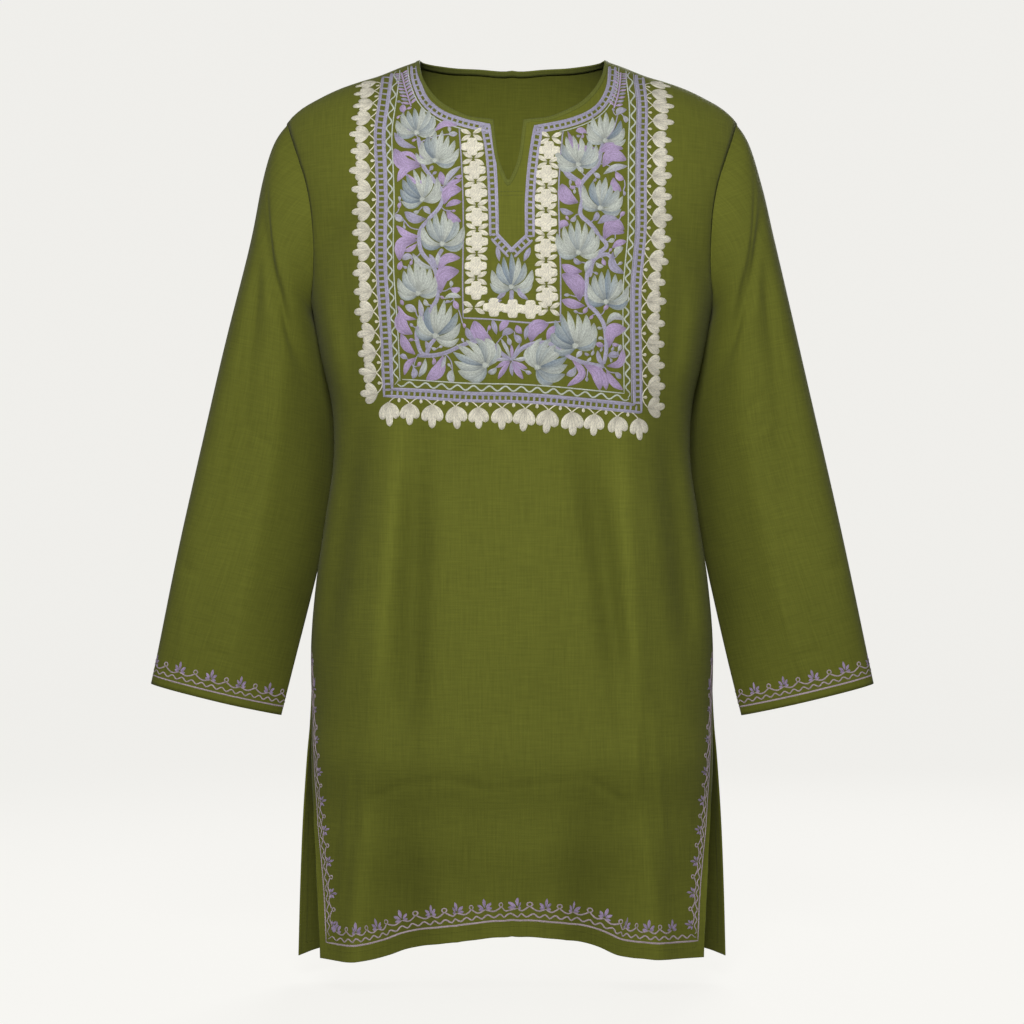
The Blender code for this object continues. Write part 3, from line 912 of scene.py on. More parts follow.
def from_end(grid, axis):
    """Way along the grid from its last row (axis 0) or last column (axis 1)."""
    step = np.linalg.norm(np.diff(grid, axis=axis), axis=-1)
    way = np.flip(np.cumsum(np.flip(step, axis), axis), axis)
    return np.concatenate((way, np.zeros_like(np.take(way, [0], axis))), axis)


print("cloth is", CLOTH * 1000, "mm thick")

# %% [markdown]
# Along the armhole the cloth is drawn down a little where the sleeve is sewn on, and the
# seam shows as a soft groove. Each panel's points sink near its armhole edge.

# %% Front and back
SLIT_TOP = 0.6250
ARMHOLE_TOP = 0.0300
SEAM_SINK = 0.0009
SEAM_WIDTH = 0.0050


def panel_grid(panel, plan):
    """XYZ of the plan, sunk near the armhole, and both flat addresses."""
    x = plan[..., 0]
    drop = plan[..., 1]
    grid = np.stack((x, panel.depth(x, drop), -drop), -1)
    right = from_end(grid, 1)
    left = from_end(grid[:, ::-1], 1)[:, ::-1]
    edge = np.minimum(left, right)
    arm = (drop < UNDERARM_DROP + 0.001) & (drop > ARMHOLE_TOP)
    sink = SEAM_SINK * np.exp(-(edge / SEAM_WIDTH) ** 2) * arm
    outward = grid_normals(grid) * panel.side
    grid = grid - outward * sink[..., None]
    u, v = panel.to_cloth(x, drop)
    hem = from_end(grid, 0)
    slit = edge + np.maximum(SLIT_TOP - drop, 0) * 2
    near = np.minimum(hem, slit)
    run = np.where(hem < slit, u, v)
    # fold heights, painted into the colour as shade in hollows and light on ridges
    fold = fold_height(x, drop, panel.folds)
    return grid, np.stack((u, v), -1), np.stack((run, near), -1), fold


front_grid, front_weave, front_turning, front_fold = panel_grid(front, front_plan)
front_piece = cloth_piece(
    "front_cloth", front_grid, front_weave, front_turning, green_cotton, fold=front_fold)
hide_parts("front")

back_grid, back_weave, back_turning, back_fold = panel_grid(back, back_plan)
back_piece = cloth_piece(
    "back_cloth", back_grid, back_weave, back_turning, green_cotton, flip=True, fold=back_fold)
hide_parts("back")
print("front and back grids:", front_grid.shape[:2], back_grid.shape[:2])

# %% [markdown]
# ## Sleeves
#
# A sleeve is a tube between an outer and an inner line: rings from the armhole to the
# cuff, each a flattened oval, its front inner corner tucked in beside the body. Its folds
# run in ring and angle. The first four are those of the solid. The rest differ between
# left and right, as on a worn sleeve: a drag line from the shoulder, creases in the bend
# of the elbow and short ones near the wrist.

# %% Sleeve tables
# outer x, outer drop, inner x, inner drop, depth in front, depth behind, tuck, set back
SLEEVE = np.array([
    (0.2265, 0.0620, 0.2015, 0.2440, 0.0600, 0.0600, 0.00, 0.000),
    (0.2385, 0.0860, 0.2045, 0.2500, 0.0640, 0.0640, 0.02, 0.002),
    (0.2500, 0.1270, 0.2035, 0.2600, 0.0650, 0.0670, 0.06, 0.005),
    (0.2600, 0.1720, 0.1995, 0.2760, 0.0640, 0.0680, 0.12, 0.008),
    (0.2715, 0.2200, 0.1935, 0.3010, 0.0610, 0.0670, 0.20, 0.011),
    (0.2845, 0.2740, 0.1850, 0.3380, 0.0570, 0.0640, 0.26, 0.014),
    (0.2980, 0.3320, 0.1800, 0.3860, 0.0530, 0.0590, 0.30, 0.016),
    (0.3115, 0.3920, 0.1835, 0.4370, 0.0490, 0.0530, 0.32, 0.016),
    (0.3250, 0.4530, 0.1925, 0.4910, 0.0450, 0.0470, 0.32, 0.014),
    (0.3385, 0.5140, 0.2050, 0.5480, 0.0410, 0.0410, 0.30, 0.011),
    (0.3510, 0.5700, 0.2180, 0.6030, 0.0360, 0.0350, 0.26, 0.008),
    (0.3625, 0.6220, 0.2310, 0.6550, 0.0300, 0.0290, 0.22, 0.006),
])
SLEEVE_SQUARE = 2.3
SLEEVE_ROWS = 144
LAST_RING = len(SLEEVE) - 1
ARMPIT_DEEP = 0.030

# ring and angle at the top, ring and angle at the bottom, half width, height;
# angle 0 is outer, pi is inner, and the front lies between them
SLEEVE_FOLDS = np.array([
    (3.0, 0.95, 8.5, 1.30, 0.28, -0.0080),
    (2.5, 0.95, 4.5, 2.20, 0.26, -0.0060),
    (2.0, -1.00, 7.0, -1.40, 0.30, -0.0080),
    (7.0, -1.80, 10.5, -1.10, 0.34, -0.0055),
])
RIGHT_CREASES = np.array([
    (1.6, 0.85, 3.4, 1.75, 0.10, -0.0016),
    (3.4, 0.72, 8.2, 1.05, 0.12, 0.0013),
    (5.7, 1.45, 6.0, 1.95, 0.075, -0.0016),
    (6.2, 1.30, 6.6, 1.75, 0.080, 0.0012),
    (8.1, 1.38, 8.2, 1.82, 0.065, -0.0013),
    (8.8, 0.50, 8.8, 0.95, 0.070, -0.0014),
    (10.1, 1.20, 10.2, 1.75, 0.070, -0.0013),
    (9.0, 1.75, 10.6, 1.55, 0.10, 0.0012),
    (5.2, -0.70, 5.8, -1.60, 0.10, -0.0020),
    (6.2, -0.80, 6.5, -1.70, 0.11, 0.0018),
    (6.9, -1.10, 7.1, -1.90, 0.09, -0.0018),
    (1.8, -0.60, 3.8, -1.90, 0.14, -0.0022),
])
LEFT_CREASES = np.array([
    (1.8, 0.80, 3.8, 1.85, 0.11, -0.0018),
    (3.2, 0.74, 7.8, 1.02, 0.13, 0.0014),
    (6.3, 1.30, 6.6, 1.85, 0.080, -0.0013),
    (8.8, 0.50, 8.9, 1.00, 0.070, -0.0014),
    (9.2, 1.80, 9.3, 2.10, 0.065, -0.0014),
    (10.1, 1.35, 10.2, 1.75, 0.065, -0.0012),
    (9.4, 0.85, 10.6, 1.00, 0.10, 0.0012),
    (5.4, -0.80, 5.9, -1.70, 0.10, -0.0020),
    (6.4, -0.80, 6.6, -1.60, 0.11, 0.0017),
    (7.3, -1.20, 7.5, -2.00, 0.09, -0.0016),
    (2.0, -0.70, 3.9, -2.00, 0.14, -0.0022),
])
print("creases right and left:", len(RIGHT_CREASES), len(LEFT_CREASES))

# %% Sleeve form


def sleeve_rings(t, angle, creases, seed):
    """Right sleeve at rings t (a column) and angles (a row): in each ring the run
    between the inner and the outer line is the signed cosine to the power 2 / 2.3, the
    depth the signed sine to the same power. Folds are added along the normals."""
    at = np.arange(len(SLEEVE))
    xo, do, xi, di, front_depth, back_depth, tuck, behind = (
        smooth(at, SLEEVE[:, k], t) for k in range(8))
    c = np.cos(angle)
    s = np.sin(angle)
    run = np.sign(c) * np.abs(c) ** (2 / SLEEVE_SQUARE)
    deep = np.sign(s) * np.abs(s) ** (2 / SLEEVE_SQUARE)
    run = run + tuck * np.clip(-np.sin(2 * angle), 0, 1) * (angle < np.pi)
    x = (xo + xi) / 2 + run * (xo - xi) / 2
    closer = 0.008 * np.exp(-((t - 3.5) / 2.5) ** 2) + 0.003 * np.exp(-((t - 1.0) / 0.8) ** 2)
    x = x - closer * ((1 - run) / 2) ** 2
    drop = (do + di) / 2 + run * (do - di) / 2
    y = np.where(deep > 0, -front_depth * deep, -back_depth * deep) + behind * (1.2 - run)
    rings = np.stack((x, y, -drop), -1)
    turned = np.where(angle > np.pi, angle - 2 * np.pi, angle)
    bump = fold_height(t + 0 * turned, turned + 0 * t, np.concatenate((SLEEVE_FOLDS, creases)))
    draw = np.random.default_rng(seed)
    for _ in range(8):
        waves = draw.integers(1, 4)
        rise = draw.uniform(0.4, 1.7) * draw.choice((-1, 1))
        bump = bump + 0.0003 * np.sin(waves * turned + rise * t + draw.uniform(0, 2 * np.pi))
    return rings + grid_normals(rings, closed=True) * (bump * np.clip(t / 2, 0, 1))[..., None]


def sleeve_grid(creases, seed):
    """Grid of the right sleeve. Ring 0 is eased onto the armhole edges of the panels."""
    rows = int(np.searchsorted(FINE_ROWS, UNDERARM_ROW))
    edge = np.concatenate((front_grid[:rows + 1, -1], back_grid[rows - 1:0:-1, -1]))
    half_turn = np.pi * FINE_ROWS[:rows + 1] / UNDERARM_ROW
    angle = np.concatenate((half_turn, 2 * np.pi - half_turn[rows - 1:0:-1]))
    t = np.linspace(0, LAST_RING, SLEEVE_ROWS + 1)[:, None]
    rings = sleeve_rings(t, angle, creases, seed)
    ease = (1 - np.clip(t / 3.0, 0, 1)) ** 2
    rings = rings + (edge - rings[0]) * ease[..., None]
    dip = SEAM_SINK * np.exp(-((t * 0.022) / SEAM_WIDTH) ** 2) * (t > 0)
    return rings - grid_normals(rings, closed=True) * dip[..., None]


def sleeve_addresses(grid):
    """Flat addresses of a sleeve: way round at mid length, way down; and way round with
    the distance to the cuff for the turned edge."""
    closed = np.concatenate((grid, grid[:, :1]), 1)
    step = np.linalg.norm(np.diff(closed, axis=1), axis=-1)
    around = np.concatenate((np.zeros((len(grid), 1)), np.cumsum(step, 1)), 1)
    middle = around[:, -1:] * 0.5
    cuff = from_end(closed, 0)
    down = np.mean(cuff[0]) - cuff
    return np.stack((around - middle, down), -1), np.stack((around, cuff), -1)


def armpit_shade(grid):
    """Painted shade on the side of a sleeve that lies against the body, where the body shades it:
    a bell of 24 mm across from the innermost line, between drops of 0.28 and 0.66 m."""
    x = abs(grid[..., 0])
    near = np.exp(-((x - x.min(1, keepdims=True)) / 0.024) ** 2)
    drop = -grid[..., 2]
    fade_in = np.clip((drop - 0.28) / 0.10, 0, 1)
    fade_out = np.clip((0.66 - drop) / 0.12, 0, 1)
    return -ARMPIT_DEEP * near * fade_in * fade_out


sleeve_tables = {}
for side, creases, seed in (("right", RIGHT_CREASES, 21), ("left", LEFT_CREASES, 22)):
    grid = sleeve_grid(creases, seed)
    sleeve_weave, turning = sleeve_addresses(grid)
    if side == "left":
        grid = grid * (-1, 1, 1)
    sleeve_tables[side] = grid, turning
    # painted shade on the sleeve where it lies against the body
    sleeve = cloth_piece(
        f"sleeve_{side}_cloth", grid, sleeve_weave, turning, green_cotton, closed=True,
        flip=side == "right", fold=armpit_shade(grid))
    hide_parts(f"sleeve_{side}")
    print(side, "sleeve:", grid.shape[:2], "cuff round", round(float(turning[-1, -1, 0]), 3))

# %% [markdown]
# ## Neck band and facing
#
# Round the neckline and down the slit the edge is bound: a narrow band is turned over and
# stitched flat on the front. Inside the back neck its facing shows as a narrow strip.

# %% Neck band and facing
BAND_LIFT = -0.0003
BAND_WALL = 0.0008
FACING_LIFT = -CLOTH + 0.0003
FACING_WALL = 0.0005
band_cotton = cotton("band cotton", (0.112, 0.125, 0.023))
BAND_GRID_ROWS = 4
FACING_GRID_ROWS = int(np.searchsorted(FINE_ROWS, len(BAND_STEPS))) + 1


def band_piece(name, panel, grid, weave, rows, reach, lift, wall, side, flip, stitched):
    """The first rows of a panel's grid, out to a reach on both sides of its middle,
    lifted off it. Where stitched is not 0, the stitch row runs along the far edge."""
    middle = grid.shape[1] // 2
    columns = slice(middle - reach * COLUMN_SPLIT, middle + reach * COLUMN_SPLIT + 1)
    part = grid[:rows, columns]
    outward = grid_normals(grid)[:rows, columns] * panel.side
    part = part + outward * lift
    far = from_end(part, 0)
    run = np.cumsum(np.linalg.norm(np.diff(part[-1], axis=0, prepend=part[-1, :1]), axis=-1))
    turning = np.stack((run + 0 * far, HEM_TURN - 0.0022 + far * stitched), -1)
    return cloth_piece(
        name, part, weave[:rows, columns], turning, band_cotton, flip=flip, wall=wall, side=side)


band = band_piece(
    "neck_band_cloth", front, front_grid, front_weave, BAND_GRID_ROWS, 10, BAND_LIFT, BAND_WALL,
    1.0, False, 0.6)
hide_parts("neck_band_front")

facing = band_piece(
    "neck_facing_cloth", back, back_grid, back_weave, FACING_GRID_ROWS, 5, FACING_LIFT,
    FACING_WALL, -1.0, True, 0.0)
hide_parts("neck_facing_back")
print("band and facing rows:", BAND_GRID_ROWS, FACING_GRID_ROWS)

# %% [markdown]
# ## Thread
#
# The embroidery is aari work: a hooked needle pulls rows of small chain stitches, and a
# petal is filled with rows laid side by side. It stands a good half millimetre proud, so
# it is modelled, not painted. Each stroke is a domed ribbon on the cloth's own flat
# coordinates, its edges sunk into the cloth. The links of the chain are a bump on the
# ribbon: rows 1.1 mm apart, links 2.4 mm long, two legs that part and meet.

# %% Thread finish
ROW = 0.0011
LINK = 0.0024


def crewel(name):
    """Dyed thread: its colour comes with the stroke, streaked along the rows, with painted shade in
    the cracks between the links and painted light on their tops."""
    thread = Finish(name)
    stitch = thread.add("ShaderNodeUVMap", {"uv_map": "stitch"})
    along = thread.part(stitch, 0)
    across = thread.part(stitch, 1) / ROW + 0.5
    row = across.floor()
    side = across.fract() - 0.5
    link = along / LINK + row * 0.37
    open_leg = 0.27 * (link.fract() * np.pi).sin()
    leg = (abs(side) - open_leg) * 5.2
    height = 1.0 / (1.0 + leg * leg)
    streak = thread.noise(thread.vector(along * 42, across * 0.8, row * 3.1))
    fuzz = thread.noise(thread.vector(along * 2600, across * 3.0, 9.0))
    colour = thread.add("ShaderNodeVertexColor", {"layer_name": "thread"})
    fleck = thread.noise(thread.vector(along * 520, across * 1.1, row * 5.3), 1.0, 1.0)
    # painted shading: the colour follows the stitch height, darker in the cracks and lighter on the
    # link tops
    shade = (0.48 + height * 0.64) * (streak * 0.80 + fleck * 1.05 + fuzz * 0.25)
    thread.set(Base_Color=thread.tinted(colour, shade), Roughness=0.74)
    thread.set(Sheen_Weight=0.06, Sheen_Roughness=0.4, Specular_IOR_Level=0.2)
    thread.bump(height * 0.00050 + fuzz * 0.00008)
    return thread.material


crewel_thread = crewel("crewel thread")

SLATE = np.array((0.255, 0.315, 0.375))
PALE = np.array((0.600, 0.635, 0.570))
LILAC = np.array((0.465, 0.355, 0.560))
LAVENDER = np.array((0.400, 0.375, 0.500))
CREAM = np.array((0.900, 0.850, 0.690))
MAUVE = np.array((0.560, 0.450, 0.500))
OLIVE = np.array((0.075, 0.085, 0.013))
TINTS = {
    "slate": (SLATE, PALE),
    "pale": (PALE, PALE * 0.92),
    "lilac": (LILAC, LILAC * 1.18),
    "lavender": (LAVENDER, LAVENDER * 1.15),
    "frost": (PALE, LAVENDER * 1.2),
    "cream": (CREAM, CREAM * 0.94),
    "mauve": (MAUVE, MAUVE * 0.88),
    "mauve bud": (LILAC * 0.80, LILAC * 1.05),
    "green": (OLIVE, OLIVE),
}
print("threads:", sorted(TINTS))

# %% [markdown]
# A stroke needs a path, a half width along it and two tints, one for each side. All the
# strokes of a piece are gathered first and become one mesh.

# %% Paths and widths


def way_along(path):
    """Way from the first point of a path to each of its points."""
    return np.concatenate(([0], np.cumsum(np.linalg.norm(np.diff(path, axis=0), axis=1))))


def points_at(path, way, at):
    """Points of a path at given ways along it."""
    return np.stack([np.interp(at, way, path[:, k]) for k in (0, 1)], 1)


def square_to(path):
    """Unit vectors square to the run of a path, at each of its points."""
    run = np.gradient(path, axis=0)
    run /= np.maximum(np.linalg.norm(run, axis=1, keepdims=True), 1e-12)
    return np.stack((-run[:, 1], run[:, 0]), 1)


def curve(points, step=0.0013, least=5):
    """Even points along a smooth curve through a few places."""
    points = np.asarray(points, float)
    fine = refine(points[:, None], np.linspace(0, len(points) - 1, 12 * len(points)))[:, 0]
    way = way_along(fine)
    count = max(least, int(way[-1] / step) + 1)
    return points_at(fine, way, np.linspace(0, way[-1], count))


def bowed(start, end, bow):
    """Three places from start to end, the middle one moved sideways by bow times the
    length."""
    start = np.asarray(start, float)
    end = np.asarray(end, float)
    run = end - start
    return np.stack((start, (start + end) / 2 + bow * np.array((run[1], -run[0])), end))


def leaf_width(count):
    """Half width of a leaf along its length: 0 at both ends, widest past the middle."""
    t = np.linspace(0, 1, count)
    return np.sin(np.pi * t ** 1.15) ** 0.8


def club_width(count):
    """Half width of a petal that starts thin and ends round: a rising sine up to two
    thirds, then a quarter oval."""
    t = np.linspace(0, 1, count)
    rise = 0.25 + 0.75 * np.sin(np.clip(t / 0.66, 0, 1) * np.pi / 2) ** 1.3
    return rise * np.sqrt(1 - np.clip((t - 0.66) / 0.34, 0, 1) ** 2)


def line_width(count):
    """Half width of a plain line, a little narrower at its two ends."""
    t = np.linspace(-1, 1, count)
    return 1 - 0.4 * np.abs(t) ** 30


WIDTHS = {"leaf": leaf_width, "club": club_width, "line": line_width}
print("shapes of strokes:", sorted(WIDTHS))

# %% Needle
SUNK = 0.00018
BLOB_STEPS = 41


def turn_of(places, faces):
    """Cross products of the diagonals of all faces, summed: its sign is their turn."""
    one = places[faces[:, 2]] - places[faces[:, 0]]
    two = places[faces[:, 3]] - places[faces[:, 1]]
    return np.sum(one[:, 0] * two[:, 1] - one[:, 1] * two[:, 0])


class Needle:
    """Gathers strokes on flat coordinates (u, v), in metres. carry turns the
    coordinates of a motif into those of the cloth."""

    def __init__(self, seed):
        self.draw = np.random.default_rng(seed)
        self.carry = lambda flat: flat
        self.flat = []
        self.height = []
        self.stitch = []
        self.tint = []
        self.faces = []
        self.marks = []
        self.used = 0

    def keep(self, flat, height, stitch, tint, faces):
        """One stroke more. Where the carrying mirrors it, its faces are turned round."""
        flat = flat.reshape(-1, 2)
        carried = self.carry(flat)
        if turn_of(flat, faces) * turn_of(carried, faces) < 0:
            faces = faces[:, ::-1]
        self.flat.append(carried)
        self.height.append(height.ravel())
        self.stitch.append(stitch.reshape(-1, 2))
        self.tint.append(tint.reshape(-1, 3))
        self.faces.append(faces + self.used)
        self.used += height.size

    def stroke(self, path, half, tint, shape="line", proud=0.0006, across=5):
        """Domed ribbon: s runs from -1 to 1 across it, and its height is the root of
        1 - s squared times how far it stands proud, less a little that is sunk."""
        count = len(path)
        width = half * WIDTHS[shape](count)
        self.marks.append(np.column_stack((path, width)))
        s = np.linspace(-1, 1, across)
        flat = path[:, None] + square_to(path)[:, None] * (width[:, None] * s)[..., None]
        dome = np.sqrt(1 - s ** 2) * np.clip(width / half, 0, 1)[:, None] ** 0.5
        height = proud * self.draw.uniform(0.85, 1.15) * dome - SUNK
        way = way_along(path) + self.draw.uniform(0, 0.05)
        stitch = np.stack(np.broadcast_arrays(way[:, None], s * half), -1)
        first, second = TINTS[tint]
        share = self.draw.uniform(0.1, 0.9) + 0.28 * s + 0.15 * np.linspace(-1, 1, count)[:, None]
        share = np.clip(share, 0, 1)[..., None]
        colour = (first * (1 - share) + second * share) * self.draw.uniform(0.93, 1.05)
        self.keep(flat, height, stitch, colour, grid_faces(count, across))

    def blob(self, centre, size, lobes, tint, deep=0.12, proud=0.0010):
        """Round of thread: its edge radius is 1 + deep * cos(lobes * angle), less half
        as much at twice the lobes, and its stitch rows run straight across."""
        angle = np.linspace(0, 2 * np.pi, BLOB_STEPS)[:, None]
        r = np.array((0.01, 0.45, 0.75, 0.93, 1.0))
        edge = 1 + deep * np.cos(lobes * angle) - 0.5 * deep * np.cos(2 * lobes * angle)
        place = np.stack((edge * r * np.cos(angle), edge * r * np.sin(angle)), -1) * size
        height = proud * np.sqrt(1 - r ** 4) * np.ones_like(angle) - SUNK
        turn = self.draw.uniform(0.3, 1.2)
        across = place @ np.array(((np.cos(turn), np.sin(turn)), (-np.sin(turn), np.cos(turn))))
        self.marks.append(np.array([(*centre, min(size))]))
        colour = TINTS[tint][0] * self.draw.uniform(0.94, 1.04) * np.ones((*height.shape, 1))
        self.keep(centre + place, height, across, colour, grid_faces(*height.shape, flip=True))

    def finish(self, name, place, flip):
        """One mesh of all the strokes. place turns u, v and height into XYZ."""
        flat = np.concatenate(self.flat)
        points = place(flat[:, 0], flat[:, 1], np.concatenate(self.height))
        faces = np.concatenate(self.faces)
        faces = faces[:, ::-1] if flip else faces
        piece = mesh_object(name, points, faces)
        layer = piece.data.uv_layers.new(name="stitch")
        stitch = np.concatenate(self.stitch)[faces]
        layer.data.foreach_set("uv", stitch.astype(np.float32).ravel())
        tint = np.concatenate(self.tint)
        tint = np.concatenate((tint, np.ones((len(tint), 1))), 1)
        colours = piece.data.color_attributes.new("thread", "FLOAT_COLOR", "POINT")
        colours.data.foreach_set("color", tint.astype(np.float32).ravel())
        piece.data.materials.append(crewel_thread)
        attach(piece, "root")
        print(name, "triangles:", 2 * len(faces))
        return piece


print("needle threaded")

# %% [markdown]
# The yoke is laid out as the camera sees it: places are millimetres from the left and the
# top of its view, at the depth of the side seams. The chest stands nearer than the side
# seams, so a place is first carried along its line of sight onto the cloth, and then
# given its flat address. Motifs are drawn on the flat cloth, so those at the shoulder
# turn over it and look shorter, as stitched ones do.

# %% From the view to the cloth
VIEW_MIDDLE = 512.5
VIEW_LEVEL = 512.0


def seen(places):
    """Flat address on the front of places in the camera's view."""
    places = np.asarray(places, float)
    right = (places[..., 0] - VIEW_MIDDLE) / 1000
    down = (places[..., 1] - VIEW_LEVEL) / 1000
    depth = np.full(right.shape, -0.1)
    for _ in range(6):
        near = (CAMERA_DISTANCE + depth) / CAMERA_DISTANCE
        x = right * near
        drop = np.maximum(CAMERA_DROP + down * near, seam_drop(x) + 0.0004)
        depth = 0.5 * depth + 0.5 * front.depth(x, drop)
    return np.stack(front.to_cloth(x, drop), -1)


def seam_in_view(across):
    """Height in the view of the shoulder seam."""
    return VIEW_LEVEL - 1000 * (CAMERA_DROP - seam_drop((across - VIEW_MIDDLE) / 1000)) + 0.8


print("seen and laid flat:", np.round(seen([(512.5, 300), (380, 150)]), 4).tolist())

# %% [markdown]
# ### Borders of the yoke
#
# The square is framed by a ladder: a band of thread, a column of small open squares
# between rungs, and a thin outer line. Inside it run a wavy line and a straight one. The
# bottom slopes a little to the right, because the worn cloth does. A second ladder
# follows the neckline and the slit down to a point.

# %% Ladder lines
LEFT_LADDER = np.array([
    (388.5, 74), (385.0, 100), (380.8, 133), (382.0, 167), (383.0, 200), (382.3, 229),
    (382.4, 266), (385.0, 307), (387.6, 348), (388.6, 376), (389.5, 392),
])
BOTTOM_LADDER = np.array([
    (389.5, 392.0), (427, 394.0), (468, 396.5), (519, 397.6), (546, 399.2), (587, 403.0),
    (628, 407.0), (638, 408.0),
])
RIGHT_LADDER = np.array([
    (640.0, 78), (642.8, 101), (642.3, 147), (642.0, 193), (641.6, 234), (639.0, 262),
    (637.4, 280), (636.6, 321), (637.4, 362), (638.0, 408),
])
NECK_LADDER = {
    "left": np.array([
        (414.4, 65), (415.6, 77), (418.9, 88), (424.0, 98.5), (431.5, 107), (445.4, 116.2),
        (467.8, 123.6), (486.7, 127.4), (490.3, 127.9),
    ]),
    "right": np.array([
        (613.2, 66), (612.6, 78), (610.6, 89), (605.6, 100), (597.4, 109.6), (585.8, 116.8),
        (568.9, 122.9), (551.7, 126.6), (538.2, 128.9), (534.8, 129.4),
    ]),
}
SLIT_LADDER = {
    "left": [np.array([(486.2, 124.0), (490.4, 147), (492.6, 168), (494.1, 200), (494.9, 236)]),
             np.array([(494.9, 236), (503.4, 245), (511.9, 254)])],
    "right": [np.array([(538.8, 125.6), (535.2, 147), (532.4, 168), (530.0, 200), (530.0, 237)]),
              np.array([(530.0, 237), (521.0, 245.4), (511.9, 254)])],
}
print("ladder points:", sum(len(t) for t in (LEFT_LADDER, BOTTOM_LADDER, RIGHT_LADDER)))

# %% Lines in the view
PITCH = 5.7


def column(side, shift):
    """A side line of the square, moved inwards by a shift, from the shoulder seam down
    to where the bottom line with the same shift crosses it."""
    table = LEFT_LADDER if side == "left" else RIGHT_LADDER
    sign = 1 if side == "left" else -1
    foot = np.interp(table[-1, 0] + sign * shift, *BOTTOM_LADDER.T) - shift
    top = seam_in_view(table[0, 0] + sign * shift)
    y = np.linspace(top, foot, 60)
    return np.stack((smooth(table[:, 1], table[:, 0], y) + sign * shift, y), 1)


def bottom(shift):
    """The bottom line of the square, moved up by a shift."""
    x = np.linspace(LEFT_LADDER[-1, 0] + shift, RIGHT_LADDER[-1, 0] - shift, 60)
    return np.stack((x, smooth(*BOTTOM_LADDER.T, x) - shift), 1)


def waved(path, height, length):
    """A path with a wave laid on it, square to its run: height times the sine of the
    way along."""
    way = way_along(path)
    even = np.linspace(0, way[-1], int(way[-1] / length * 8) + 1)
    line = points_at(path, way, even)
    wave = height * np.sin(2 * np.pi * even / length)
    return line + square_to(line) * wave[:, None]


def moved(path, shift):
    """A path moved square to its run."""
    return path + square_to(path) * shift


def rungs(needle, path, first, last):
    """Short stitches across a ladder, one every PITCH along its path, between two
    shifts from it."""
    way = way_along(path)
    at = np.arange(PITCH / 2, way[-1], PITCH)
    starts, ends = (seen(points_at(moved(path, shift), way, at)) for shift in (first, last))
    steps = np.linspace(0, 1, 4)[:, None]
    for start, end in zip(starts, ends):
        needle.stroke(start + (end - start) * steps, 0.00150, "lavender", across=3)


def seen_line(needle, path, half, tint, across=3):
    """A line through places of the view."""
    needle.stroke(curve(seen(path), 0.0016), half, tint, across=across)


print("bottom line from and to:", np.round(bottom(0)[[0, -1]], 1).tolist())

# %% Borders
# side, shifts of: thin outer line, band, wave, straight line
SIDE_LINES = (("left", 5.0, 3.0, 7.9, 11.6), ("right", 3.9, 2.6, 9.4, 13.2))

borders = Needle(31)
for side, outer, band_shift, wave, straight in SIDE_LINES:
    sign = 1 if side == "left" else -1
    seen_line(borders, column(side, band_shift + 0.4), 0.0023, "lavender", 5)
    seen_line(borders, column(side, -outer), 0.0019, "lavender", 5)
    rungs(borders, column(side, 0), sign * outer, -sign * band_shift)
    seen_line(borders, waved(column(side, wave), 2.2, 13.6), 0.0011, "pale")
    seen_line(borders, column(side, straight), 0.00085, "pale")
seen_line(borders, column("right", 5.6), 0.0007, "lavender")
seen_line(borders, bottom(3.1), 0.0022, "lavender", 5)
seen_line(borders, bottom(-4.2), 0.0017, "lavender", 5)
rungs(borders, bottom(0), -2.4, 3.6)
seen_line(borders, waved(bottom(8.6), 2.4, 16.0), 0.0011, "pale")
seen_line(borders, bottom(13.2), 0.00085, "pale")

for side, sign in (("left", 1), ("right", -1)):
    neck = curve(NECK_LADDER[side], 1.5)
    seen_line(borders, moved(neck, -sign * 2.8), 0.0021, "lavender", 5)
    seen_line(borders, moved(neck, sign * 2.9), 0.0016, "lavender", 5)
    seen_line(borders, moved(neck[:-16], sign * 6.4), 0.0008, "pale")
    rungs(borders, neck, -sign * 2.0, sign * 2.2)
    for path in SLIT_LADDER[side]:
        line = curve(path, 1.5)
        seen_line(borders, moved(line, -sign * 3.0), 0.0020, "lavender", 5)
        seen_line(borders, moved(line, sign * 4.1), 0.0015, "lavender", 5)
        rungs(borders, line, -sign * 2.0, sign * 3.5)

INNER_FRAME = np.array([
    (459.6, 127), (461.6, 156), (463.2, 189), (463.8, 225), (463.2, 280), (463.7, 318),
])
INNER_FOOT = np.array([(463.7, 318), (492, 319.4), (519, 322), (540, 323), (560.8, 321.7)])
INNER_RIGHT = np.array([
    (564.2, 130), (562.8, 137), (560.2, 168), (559.2, 193), (559.8, 226), (561.2, 280),
    (560.8, 321.7),
])
for path in (INNER_FRAME, INNER_FOOT, INNER_RIGHT):
    seen_line(borders, path, 0.0010, "lavender")
for level in (191.4, 195.2):
    for x in np.arange(500.5, 522, 3.4):
        seen_line(borders, ((x, level), (x + 1.3, level), (x + 2.6, level)), 0.0004, "green")
yoke_borders = borders.finish("yoke_borders", front.raised, True)

# %% [markdown]
# ### Cream work
#
# Outside the ladder stands a fringe of buds, each of three round lobes, hung on thin arcs
# with a berry in every arc. Beside the slit runs a column where rounds of four lobes
# take turns with crossings of four narrow leaves.

# %% Buds, arcs and berries


def local(centre, lean, points, size=1.0):
    """Points of a motif (right, up), in millimetres, turned clockwise by a lean in
    degrees and set on the flat cloth."""
    points = np.asarray(points, float) * size / 1000
    a = np.radians(lean)
    u = points[..., 0] * np.cos(a) + points[..., 1] * np.sin(a)
    v = points[..., 0] * np.sin(a) - points[..., 1] * np.cos(a)
    return np.asarray(centre) + np.stack((u, v), -1)


